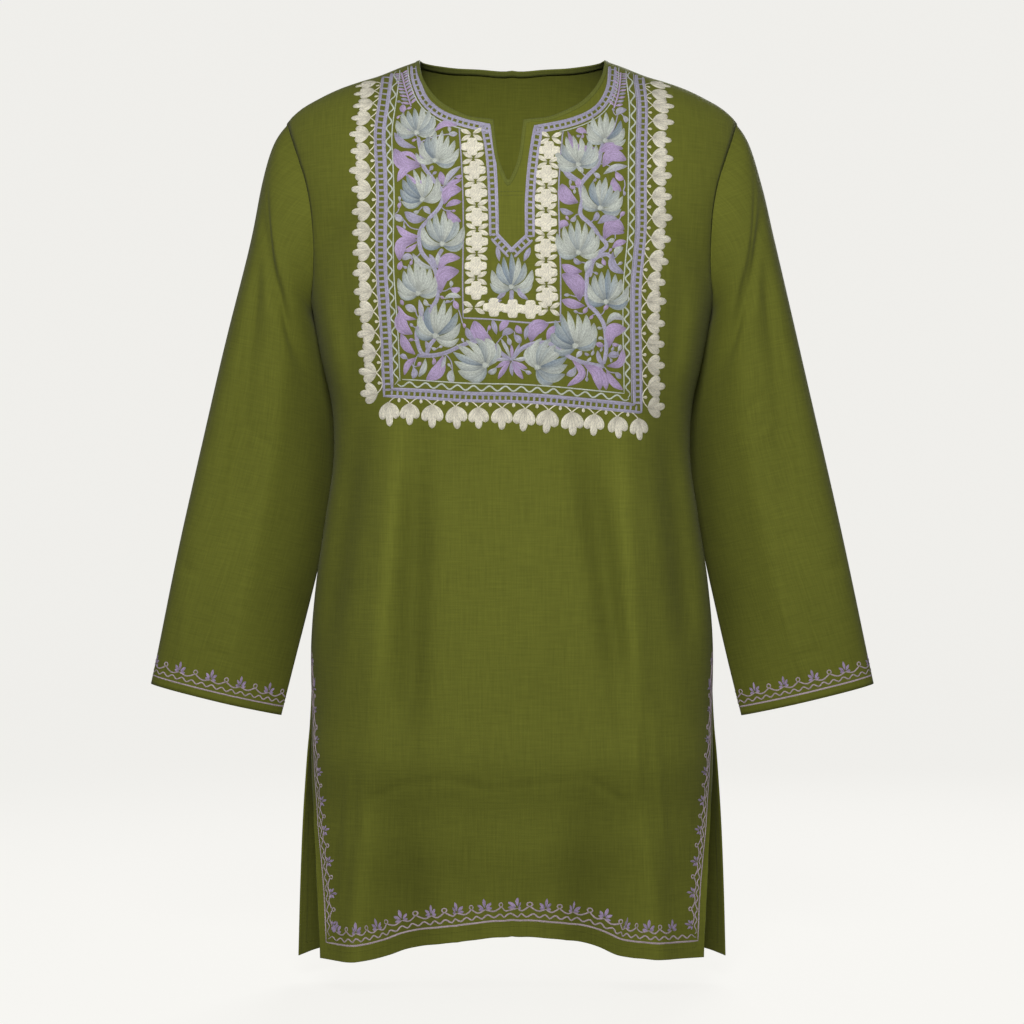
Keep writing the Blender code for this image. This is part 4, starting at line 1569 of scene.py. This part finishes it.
def bud(needle, base, lean, size):
    """Three lobes from one point: the middle one longest, the outer two bent apart."""
    for sign in (-1, 1):
        side = [(0, 0), (sign * 3.6, 3.6), (sign * 6.0, 8.6), (sign * 6.6, 14.8)]
        needle.stroke(curve(local(base, lean, side, size)), 0.0045 * size, "cream", "club", 0.0009)
    middle = [(0, 0.5), (0, 10), (0, 21.0)]
    needle.stroke(curve(local(base, lean, middle, size)), 0.0039 * size, "cream", "club", 0.0010)


def fringe(needle, path, pitch, lean, size):
    """Buds along a path at a pitch, pointing outwards, with an arc and a berry between
    one bud and the next."""
    line = curve(seen(path), 0.001)
    way = way_along(line)
    count = int(round(way[-1] / pitch))
    bases = points_at(line, way, (np.arange(count) + 0.5) * way[-1] / count)
    inward = np.array((-np.sin(np.radians(lean)), np.cos(np.radians(lean))))
    for base in bases:
        turn = lean + needle.draw.uniform(-7, 7)
        bud(needle, base, turn, size * needle.draw.uniform(0.93, 1.05))
    for base, after in zip(bases[:-1], bases[1:]):
        middle = (base + after) / 2
        near, far = ((middle + end) / 2 + inward * 0.0046 for end in (base, after))
        arc = np.stack((base, near, middle + inward * 0.0062, far, after))
        needle.stroke(curve(arc), 0.0008, "cream", across=3)
        berry = np.stack([middle + inward * way_in for way_in in (0.0060, 0.0026, 0.0004)])
        needle.stroke(curve(berry), 0.0019, "cream", "club")


cream = Needle(32)
fringe(cream, column("left", -11.6), 0.0202, -90, 1.02)
fringe(cream, column("right", -10.6), 0.0202, 90, 1.02)
fringe(cream, bottom(-10.6), 0.0226, 180, 1.06)
print("strokes in the fringe:", len(cream.marks))

# %% Rounds and crossings beside the slit
ROUNDS = np.array([
    (472.8, 146.5), (475.0, 170.0), (476.7, 193.0), (477.3, 217.0), (477.4, 241.5), (476.2, 266.0),
    (476.7, 290.5), (494.5, 307.3), (513.2, 308.6), (531.0, 309.5), (547.6, 297.0), (546.8, 272.6),
    (546.2, 248.0), (546.5, 222.5), (546.5, 198.0), (547.2, 174.0), (549.6, 150.0),
])
CROSSINGS = np.array([
    (472.4, 134.0), (474.0, 158.4), (476.0, 181.6), (477.2, 205.2), (477.6, 229.4), (477.2, 253.8),
    (476.6, 278.2), (474.4, 307.6), (549.6, 309.0), (547.0, 284.8), (546.6, 260.3), (546.3, 235.2),
    (546.4, 210.2), (546.9, 186.0), (548.6, 162.0), (551.2, 137.6),
])
for centre in seen(ROUNDS):
    cream.blob(centre, (0.0100, 0.0084), 4, "cream", 0.17)
for centre in seen(CROSSINGS):
    for lean in (-62, 62, -118, 118):
        leaf = local(centre, lean + cream.draw.uniform(-5, 5), [(0, 0.5), (0, 6), (0, 12.5)])
        cream.stroke(curve(leaf), 0.0026, "cream", "leaf", 0.0008)
yoke_cream = cream.finish("yoke_cream_work", front.raised, True)

# %% [markdown]
# ### Lotuses, leaves and vines
#
# Open lotuses lean left and right up a vine on each side of the slit, with comma leaves
# in every space between. All of it is drawn anew from a few strokes: a lotus is a fan of
# petals from one point, two of them sweeping out low as a bowl.

# %% Lotuses
# path (right, up) and half width in mm, thread
PETALS = (
    (((0.5, -1.4), (-8, -3.8), (-15, -2.4), (-20.5, 4.0)), 3.1, "slate"),
    (((-0.5, -1.4), (8, -3.8), (15, -2.4), (20.5, 4.0)), 3.1, "slate"),
    (((1, -0.5), (-8.5, 0.6), (-15.8, 6), (-19.4, 17.5)), 4.5, "pale"),
    (((-1, -0.5), (8.5, 0.6), (15.8, 6), (19.4, 17.5)), 4.5, "pale"),
    (((0, 0), (-7.0, 6.5), (-11.8, 14), (-13.4, 24.5)), 4.1, "slate"),
    (((0, 0), (7.0, 6.5), (11.8, 14), (13.4, 24.5)), 4.1, "slate"),
    (((0, 0), (-4.0, 10), (-6.4, 19), (-7.4, 29.0)), 3.6, "slate"),
    (((0, 0), (4.0, 10), (6.4, 19), (6.4, 28.5)), 3.6, "pale"),
    (((0, 0), (0.0, 12), (0.0, 22), (-0.8, 32)), 3.6, "pale"),
)
# place of the base in the view, lean, size
LOTUSES = np.array([
    (417.0, 132.5, -4, 0.98),
    (435.8, 160.5, 14, 1.00),
    (422.8, 199.5, -16, 0.98),
    (443.0, 244.0, 2, 1.04),
    (418.8, 293.5, -4, 1.02),
    (436.0, 336.0, 16, 1.10),
    (486.0, 365.5, -52, 1.12),
    (512.0, 287.0, 0, 0.98),
    (606.0, 140.5, 4, 0.98),
    (579.0, 164.5, -8, 1.00),
    (601.0, 208.0, 12, 1.00),
    (579.3, 252.5, 0, 1.04),
    (606.8, 302.0, 5, 1.02),
    (576.0, 346.0, -10, 1.12),
    (538.0, 367.5, 56, 1.10),
])


def lotus(needle, base, lean, size):
    """A fan of petals, the outer ones first. Each is a leaf shape on a bent path."""
    for path, half, tint in PETALS:
        path = np.array(path) * needle.draw.uniform(0.94, 1.05)
        path[1:] += needle.draw.uniform(-0.7, 0.7, 2)
        swap = needle.draw.choice((tint, "slate", "pale"), p=(0.60, 0.28, 0.12))
        half = half * needle.draw.uniform(0.9, 1.08)
        needle.stroke(
            curve(local(base, lean, path, size)), half / 1000 * size, swap, "leaf", 0.0010, 7)
    needle.blob(base, (0.0030 * size, 0.0026 * size), 3, "pale", 0.1, 0.0014)


flowers = Needle(33)
for (x, y, lean, size), base in zip(LOTUSES, seen(LOTUSES[:, :2])):
    lotus(flowers, base, lean, size)
print("lotuses:", len(LOTUSES))

# %% Vines
VINES = (
    ((418.5, 137), (421.5, 152), (424, 166), (434, 180), (443.5, 193), (440, 207), (428, 220)),
    ((428, 220), (421, 230), (419.5, 240), (422.5, 252.5), (432.5, 264.5), (437, 275), (437.5, 288),
     (437.5, 299), (429, 312.5), (421.8, 322), (417, 334.7), (421.8, 352.6), (432.5, 355.4)),
    ((418, 355.3), (432.8, 355.4), (446.5, 352.6), (461.6, 345.7), (475.3, 341.6), (491, 343.6),
     (502.7, 354), (511.7, 360)),
    ((603.3, 143), (601, 153), (598.4, 165), (588, 176), (581, 186), (582.7, 200), (581, 214),
     (591.8, 225), (600, 236)),
    ((600, 236), (607, 246), (596, 256), (588.5, 270), (587.2, 286), (588, 302), (598.3, 314),
     (605, 327), (606.8, 348), (604.4, 364)),
    ((511.7, 360), (520.5, 350), (531, 344.4), (545, 342.6), (557, 347), (568, 355.6), (582, 362),
     (604.4, 367)),
    ((590, 277), (594.5, 260), (607, 254.4), (614.4, 262), (614.6, 271)),
    ((443, 249), (438.5, 257), (437, 268)),
    ((512.3, 290), (512.0, 297), (511.8, 301)),
    ((436, 338), (430, 346), (427, 354)),
)
for points in VINES:
    flowers.stroke(curve(seen(points)), 0.0024, "lavender")
print("vines:", len(VINES))

# %% Leaves
# the thread covers more than the leaf that a place was read for
LEAF_SPREAD = 0.00158

# start and tip in the view, bow, half width that LEAF_SPREAD turns into metres
LILAC_LEAVES = np.array([
    (422, 164, 396, 149, 0.26, 4.8),
    (421, 165, 396, 155, -0.22, 1.6),
    (422, 166, 399, 181, -0.22, 2.9),
    (434, 180, 406, 173, 0.20, 1.7),
    (434, 132, 457, 126, 0.24, 2.4),
    (443.5, 186, 441, 172, 0.0, 2.3),
    (444.5, 191, 461.5, 180, 0.10, 1.9),
    (444.5, 205, 461.5, 190, 0.30, 4.3),
    (445.5, 207, 461.5, 202, 0.10, 2.1),
    (447, 209, 461, 221, -0.15, 2.8),
    (421.5, 237, 398, 226, 0.15, 2.5),
    (419, 240, 401, 260, -0.35, 4.0),
    (418, 243, 405, 251, 0.10, 1.7),
    (438.3, 271.5, 460, 258.5, 0.25, 3.2),
    (441, 294, 459, 272, 0.34, 5.2),
    (413.6, 334.7, 400.5, 312.5, 0.20, 4.6),
    (417.7, 319.6, 399, 306, 0.20, 1.9),
    (416.3, 355, 402, 334.5, 0.10, 3.2),
    (417.7, 357, 405.5, 374.5, -0.15, 2.2),
    (443.8, 355.3, 427.5, 379, 0.15, 4.4),
    (493, 340.2, 475.5, 321.5, 0.20, 5.0),
    (500, 332, 509.5, 321, 0.10, 2.4),
    (567.7, 130.5, 595.5, 147, -0.30, 2.8),
    (598, 153.7, 622.6, 149, 0.20, 3.2),
    (603, 167.5, 626, 160.5, 0.36, 4.6),
    (614, 177, 621.5, 190.5, -0.20, 3.0),
    (579.2, 203, 563, 184.5, 0.20, 4.8),
    (579.4, 188, 578.6, 178.5, 0.0, 2.4),
    (603, 234, 624, 230, 0.35, 4.4),
    (560.5, 229.5, 569, 225.5, 0.45, 2.4),
    (603, 241, 624, 233.4, 0.32, 3.6),
    (612, 248.5, 626.3, 241.6, 0.10, 2.2),
    (583.2, 271.6, 563, 264.8, 0.10, 3.2),
    (580.4, 302, 563, 275.6, -0.22, 5.6),
    (586, 306, 563, 300.2, 0.05, 3.2),
    (609.3, 348.5, 626, 329.5, 0.34, 4.8),
    (606.5, 366.5, 623, 349, -0.30, 2.8),
    (582, 362, 599.5, 389, 0.22, 4.4),
    (598.5, 367.5, 606.5, 389, 0.10, 2.6),
    (606.5, 369.5, 622.8, 389, -0.10, 2.6),
    (571, 357, 567.5, 385, 0.46, 2.6),
    (531, 343, 548.5, 324.5, 0.25, 5.0),
    (547.5, 341.6, 557, 326, 0.10, 2.4),
    (522.8, 334, 517.3, 325.6, 0.10, 2.2),
])
LAVENDER_LEAVES = np.array([
    (417, 148, 395.8, 133, 0.15, 2.5),
    (427, 219, 406, 212, 0.15, 3.2),
    (437, 266, 430, 254.5, 0.0, 1.6),
    (428.7, 355, 426, 341.5, -0.10, 1.7),
    (476.7, 341.6, 467, 328, 0.10, 2.3),
    (497.3, 335, 493, 320.5, 0.0, 1.9),
    (585, 182.5, 563, 168, 0.10, 2.1),
    (574.6, 213.4, 561, 208.6, 0.10, 2.1),
    (597.6, 224, 618.3, 221, 0.20, 2.9),
    (613.4, 251, 624.3, 272.5, -0.28, 2.8),
    (605, 367, 598.3, 351, 0.10, 1.7),
    (525.6, 340.2, 528.3, 326, 0.0, 1.9),
    (506, 284, 497, 299, 0.15, 1.7),
    (518, 284, 528, 299, -0.15, 1.7),
    (500, 262, 497.5, 247, 0.0, 1.6),
    (524, 262, 530.5, 248, 0.0, 1.9),
    (503, 300, 489, 300.5, 0.10, 1.5),
])
FROST_LEAVES = np.array([
    (443.6, 188, 460.5, 167, 0.10, 2.0),
    (435.5, 269, 413.8, 254, 0.15, 2.1),
    (437.6, 267.5, 439, 253, 0.0, 1.7),
    (443.8, 299, 461, 297.5, 0.16, 1.8),
    (426, 358, 419.5, 376, 0.10, 2.1),
    (446.5, 355.3, 441, 370.5, 0.0, 1.7),
    (603.3, 174.5, 627, 166.5, 0.10, 2.3),
    (586, 273, 593, 260.5, 0.10, 2.4),
    (606.5, 325, 624.3, 319.6, 0.30, 2.4),
    (419.5, 299, 421.5, 318, 0.05, 1.9),
    (596, 262, 604, 266, -0.2, 1.5),
])
LEAVES = (("lilac", LILAC_LEAVES), ("lavender", LAVENDER_LEAVES), ("frost", FROST_LEAVES))
for tint, table in LEAVES:
    starts = seen(table[:, :2])
    tips = seen(table[:, 2:4])
    for start, tip, bow, half in zip(starts, tips, table[:, 4], table[:, 5]):
        path = curve(bowed(start, tip + 0.06 * (tip - start), bow))
        flowers.stroke(path, half * LEAF_SPREAD, tint, "leaf", 0.0009, 7)
print("leaves:", {tint: len(table) for tint, table in LEAVES})

# %% Star flower and feathers
# lean, length and half width in mm, thread
STAR = (
    (0, 15, 1.9, "lilac"), (28, 18, 1.9, "lavender"), (-26, 23, 2.1, "frost"),
    (82, 17, 2.3, "frost"), (-90, 18, 2.0, "frost"), (118, 18, 2.6, "lilac"),
    (-118, 16, 2.4, "lilac"), (148, 22, 3.3, "lilac"), (-145, 23, 2.8, "lilac"),
    (176, 16, 2.1, "lavender"),
)
star = seen((511.8, 360.0))
for lean, length, half, tint in STAR:
    path = local(star, lean, [(0, 1), (0.6, length / 2), (0, length)])
    flowers.stroke(curve(path), half / 1000, tint, "leaf", 0.0009)

FEATHERS = (
    ((411.5, 106), (408.0, 95), (404.6, 84), (401.5, 72)),
    ((614.5, 108), (618.2, 96), (620.4, 84), (621.5, 72)),
)
for stem in FEATHERS:
    line = curve(seen(stem))
    flowers.stroke(line, 0.0010, "lilac")
    for k in range(2, len(line), 4):
        run = line[min(k + 1, len(line) - 1)] - line[k - 1]
        lean = np.degrees(np.arctan2(run[0], -run[1]))
        for turn in (-52, 52):
            path = local(line[k], lean + turn, [(0, 0.5), (0, 5), (0, 9.5)])
            tint = "lilac" if k % 8 == 2 else "lavender"
            flowers.stroke(curve(path), 0.0019, tint, "leaf", 0.0007)
print("petals of the star, feathers:", len(STAR), len(FEATHERS))

# %% [markdown]
# A worker leaves no large bare place inside the frame: small leaves grow from the vine
# into what is left. Places are drawn by lot inside the frame. The one with most room
# round it gets a leaf that fills its gap, on a stalk from the nearest vine or leaf, and
# so on until every gap is narrow.

# %% Small leaves in the gaps
WIDEST_GAP = 0.0056
LEAST_GAP = 0.0019
LOTS = 5200


def room(marks, places):
    """Free distance at each place: the least distance to a mark less its half width."""
    away = places[:, None] - marks[None, :, :2]
    return (np.hypot(away[..., 0], away[..., 1]) - marks[:, 2]).min(1)


def fill_gaps(needle, others, roots, places, least, tints):
    """Leaves in what is still bare, the widest gap first: a leaf 2.4 r long and 1.5 r
    wide in the middle of a gap of radius r, on a thin stalk from the nearest root."""
    free = room(np.concatenate(needle.marks + others), places)
    kept = 0
    while free.max() > least:
        k = np.argmax(free)
        radius = min(free[k], WIDEST_GAP)
        away = places[k] - roots
        near = np.argmin(np.hypot(*away.T))
        way = away[near] / np.linalg.norm(away[near])
        way = way + needle.draw.uniform(-0.5, 0.5) * np.array((-way[1], way[0]))
        way /= np.linalg.norm(way)
        foot = places[k] - way * radius * 1.15
        tip = places[k] + way * radius * 1.25
        tint = tints[needle.draw.integers(len(tints))]
        path = curve(bowed(foot, tip, needle.draw.uniform(-0.22, 0.22)), 0.0012, 7)
        needle.stroke(path, radius * 0.75, tint, "leaf", 0.0009)
        fresh = needle.marks[-1]
        if np.linalg.norm(foot - roots[near]) > 0.0015:
            stalk = bowed(roots[near], foot + way * radius * 0.3, needle.draw.uniform(-0.2, 0.2))
            needle.stroke(curve(stalk, 0.0014), 0.0008, "lavender", across=3)
            fresh = np.concatenate((fresh, needle.marks[-1]))
        roots = np.concatenate((roots, curve((foot, tip), 0.002)))
        free = np.minimum(free, room(fresh, places))
        kept += 1
    return kept


# corners of the three fields inside the frame, clockwise in the view
PATCHES = (
    ((398, 98), (418, 99), (459, 129), (459, 322), (459, 378), (400, 374)),
    ((567, 131), (606, 99), (625, 98), (623, 382), (567, 378)),
    ((460, 325), (566, 328), (566, 377), (460, 370)),
)
spots = flowers.draw.uniform((396, 96), (628, 384), (LOTS, 2))
inside = np.zeros(len(spots), bool)
for patch in PATCHES:
    patch = np.array(patch, float)
    sides = np.roll(patch, -1, 0) - patch
    away = spots[:, None] - patch
    inside |= np.all(sides[:, 0] * away[..., 1] - sides[:, 1] * away[..., 0] >= 0, 1)
roots = np.concatenate([curve(seen(points), 0.003) for points in VINES])
small = fill_gaps(
    flowers, borders.marks + cream.marks, roots, seen(spots[inside]), LEAST_GAP,
    ("lilac", "lavender", "frost"))
print("small leaves:", small)
yoke_flowers = flowers.finish("yoke_flowers", front.raised, True)

# %% [markdown]
# ### Trims
#
# Hem, side slits and cuffs carry the same narrow trim: a straight line, a wavy one, and a
# vine of arcs with a five-petal sprig and a loop in turns. It is drawn once on a straight
# strip (way along, way in from the edge) and carried along each edge. The hidden back hem
# and the backs of the cuffs get it too.

# %% Trim on a strip
SPRIG = ((-82, 5.0), (82, 5.0), (-42, 7.2), (42, 7.2), (0, 9.6))


def trim(needle, length, lines, pitch, ends=(0.0, 0.0), size=1.2):
    """Straight line, wave, vine, sprigs and loops along a strip. lines are the ways in
    from the edge of the first three, and ends say how far from each end of the strip a
    line that lies 1 m in would stop."""
    straight, wave, vine = lines
    for inward, half in ((straight, 0.0011), (wave, 0.0010)):
        first = ends[0] * inward
        last = length - ends[1] * inward
        along = np.linspace(first, last, int((last - first) / 0.0016) + 2)
        sway = 0.0013 * size * np.sin(along * 2 * np.pi / 0.0102) * (inward == wave)
        needle.stroke(np.stack((along, inward + sway), 1), half, "mauve", across=3)
    first = ends[0] * vine + pitch * 0.25
    count = int((length - ends[1] * vine - first) / pitch)
    for k in range(count + 1):
        foot = np.array((first + k * pitch, vine))
        for lean, reach in SPRIG:
            a = np.radians(lean + needle.draw.uniform(-6, 6))
            tip = foot + np.array((np.sin(a), np.cos(a))) * reach / 1000 * size
            steps = np.linspace(0.08, 1, 6)[:, None]
            needle.stroke(foot + (tip - foot) * steps, 0.0016 * size, "mauve bud", "leaf", across=3)
        if k == count:
            break
        loop = foot + (pitch / 2, 0.0032 * size)
        under = loop - (0, 0.0017 * size)
        a = np.linspace(-np.pi / 2, 1.5 * np.pi, 9)
        ring = loop + 0.0017 * size * np.stack((np.cos(a), np.sin(a)), 1)
        needle.stroke(ring, 0.0009, "mauve", across=3)
        for start, end in ((foot, under), (under, foot + (pitch, 0))):
            sag = (start + end) / 2 - (0, 0.0026 * size)
            needle.stroke(curve((start, sag, end), 0.0018), 0.0010, "mauve", across=3)


def along_edge(edge, side):
    """Carries strip places onto an edge line of the flat cloth: the way along picks a
    point of the edge, the way in goes square to it."""
    way = way_along(edge)
    square = side * square_to(edge)

    def carry(flat):
        at = [np.interp(flat[:, 0], way, column) for column in (*edge.T, *square.T)]
        return np.stack((at[0] + flat[:, 1] * at[2], at[1] + flat[:, 1] * at[3]), 1)

    return carry, way[-1]


HEM_TRIM = (0.0160, 0.0208, 0.0275)
HEM_PITCH = 0.0262
SLIT_TRIM = (0.0085, 0.0120, 0.0160)
SLIT_PITCH = 0.0300


def corner_turn(one, corner, other):
    """Cotangent and reciprocal sine of the angle at a corner."""
    a = (one - corner) / np.linalg.norm(one - corner)
    b = (other - corner) / np.linalg.norm(other - corner)
    sine = np.sqrt(1 - (a @ b) ** 2)
    return (a @ b) / sine, 1 / sine


def panel_trim(name, panel, plan, weave, slit_top, seed, flip):
    """Trim on the hem of a panel and up both its slits. At a corner each line stops
    where the same line of the other edge meets it."""
    needle = Needle(seed)
    ratio = HEM_TRIM[0] / SLIT_TRIM[0]
    hem = weave[-1]
    turns = [
        corner_turn(hem[8 * side], hem[corner], weave[-8, corner])
        for side, corner in ((1, 0), (-1, -1))]
    needle.carry, length = along_edge(hem, -1)
    trim(needle, length, HEM_TRIM, HEM_PITCH, [cot + cosec / ratio for cot, cosec in turns])
    for column, side, (cot, cosec) in ((0, 1, turns[0]), (-1, -1, turns[1])):
        below = plan[:, column, 1] > slit_top
        drop = plan[below, column, 1]
        edge = weave[below, column].copy()
        edge[:, 0] += side * 0.012 * np.clip((0.76 - drop) / 0.14, 0, 1)
        needle.carry, length = along_edge(edge, -side)
        trim(needle, length, SLIT_TRIM, SLIT_PITCH, (0.0, cot + ratio * cosec), 1.0)
    return needle.finish(name, panel.raised, flip)


front_trim = panel_trim("front_trim", front, front_plan, front_weave, 0.585, 41, True)
back_trim = panel_trim("back_trim", back, back_plan, back_weave, 0.625, 42, False)

# %% Trim on the cuffs
CUFF_TRIM = (0.0090, 0.0138, 0.0200)
CUFF_PITCH = 0.0315


def tube_place(grid, turning, outward):
    """Place on a sleeve from the way round and the way up from the cuff: the four grid
    points around it are mixed, points and normals alike."""
    closed = np.concatenate((grid, grid[:, :1]), 1)
    normal = grid_normals(grid, closed=True) * outward
    normal = np.concatenate((normal, normal[:, :1]), 1)
    count = closed.shape[1] - 1

    def place(u, v, height):
        j = np.interp(np.mod(u, turning[-1, -1, 0]), turning[-1, :, 0], np.arange(count + 1))
        j0 = np.minimum(j.astype(int), count - 1)
        across = j - j0
        row = turning[-2, j0, 1] * (1 - across) + turning[-2, j0 + 1, 1] * across
        i = len(closed) - 1 - np.maximum(v / row, 0)
        i0 = np.minimum(i.astype(int), len(closed) - 2)
        mix = np.stack((i - i0, across), 1)[:, :, None]
        made = []
        for table in (closed, normal):
            upper = table[i0, j0] * (1 - mix[:, 1]) + table[i0, j0 + 1] * mix[:, 1]
            lower = table[i0 + 1, j0] * (1 - mix[:, 1]) + table[i0 + 1, j0 + 1] * mix[:, 1]
            made.append(upper * (1 - mix[:, 0]) + lower * mix[:, 0])
        return made[0] + made[1] * height[:, None]

    return place


for side, (grid, turning) in sleeve_tables.items():
    needle = Needle(43 if side == "right" else 44)
    round_cuff = float(turning[-1, -1, 0])
    trim(needle, round_cuff, CUFF_TRIM, round_cuff / round(round_cuff / CUFF_PITCH))
    outward = 1 if side == "right" else -1
    needle.finish(
        f"cuff_trim_{side}", tube_place(grid, turning, outward), side == "right")

# %% [markdown]
# ## Areas of the cloth
#
# The area of the hung front, back and one sleeve is measured from its grid and printed.

# %% Areas


def cloth_area(grid, closed=False):
    """Area of a grid: half the cross product of the two diagonals of each cell."""
    if closed:
        grid = np.concatenate((grid, grid[:, :1]), 1)
    one = grid[1:, 1:] - grid[:-1, :-1]
    two = grid[1:, :-1] - grid[:-1, 1:]
    return float(0.5 * np.linalg.norm(np.cross(one, two), axis=-1).sum())


front_area = cloth_area(front_grid)
back_area = cloth_area(back_grid)
for side, (grid, _) in sleeve_tables.items():
    sleeve_area = cloth_area(grid, closed=True)
print("areas of the cuts:", [round(a, 4) for a in (front_area, back_area, sleeve_area)])
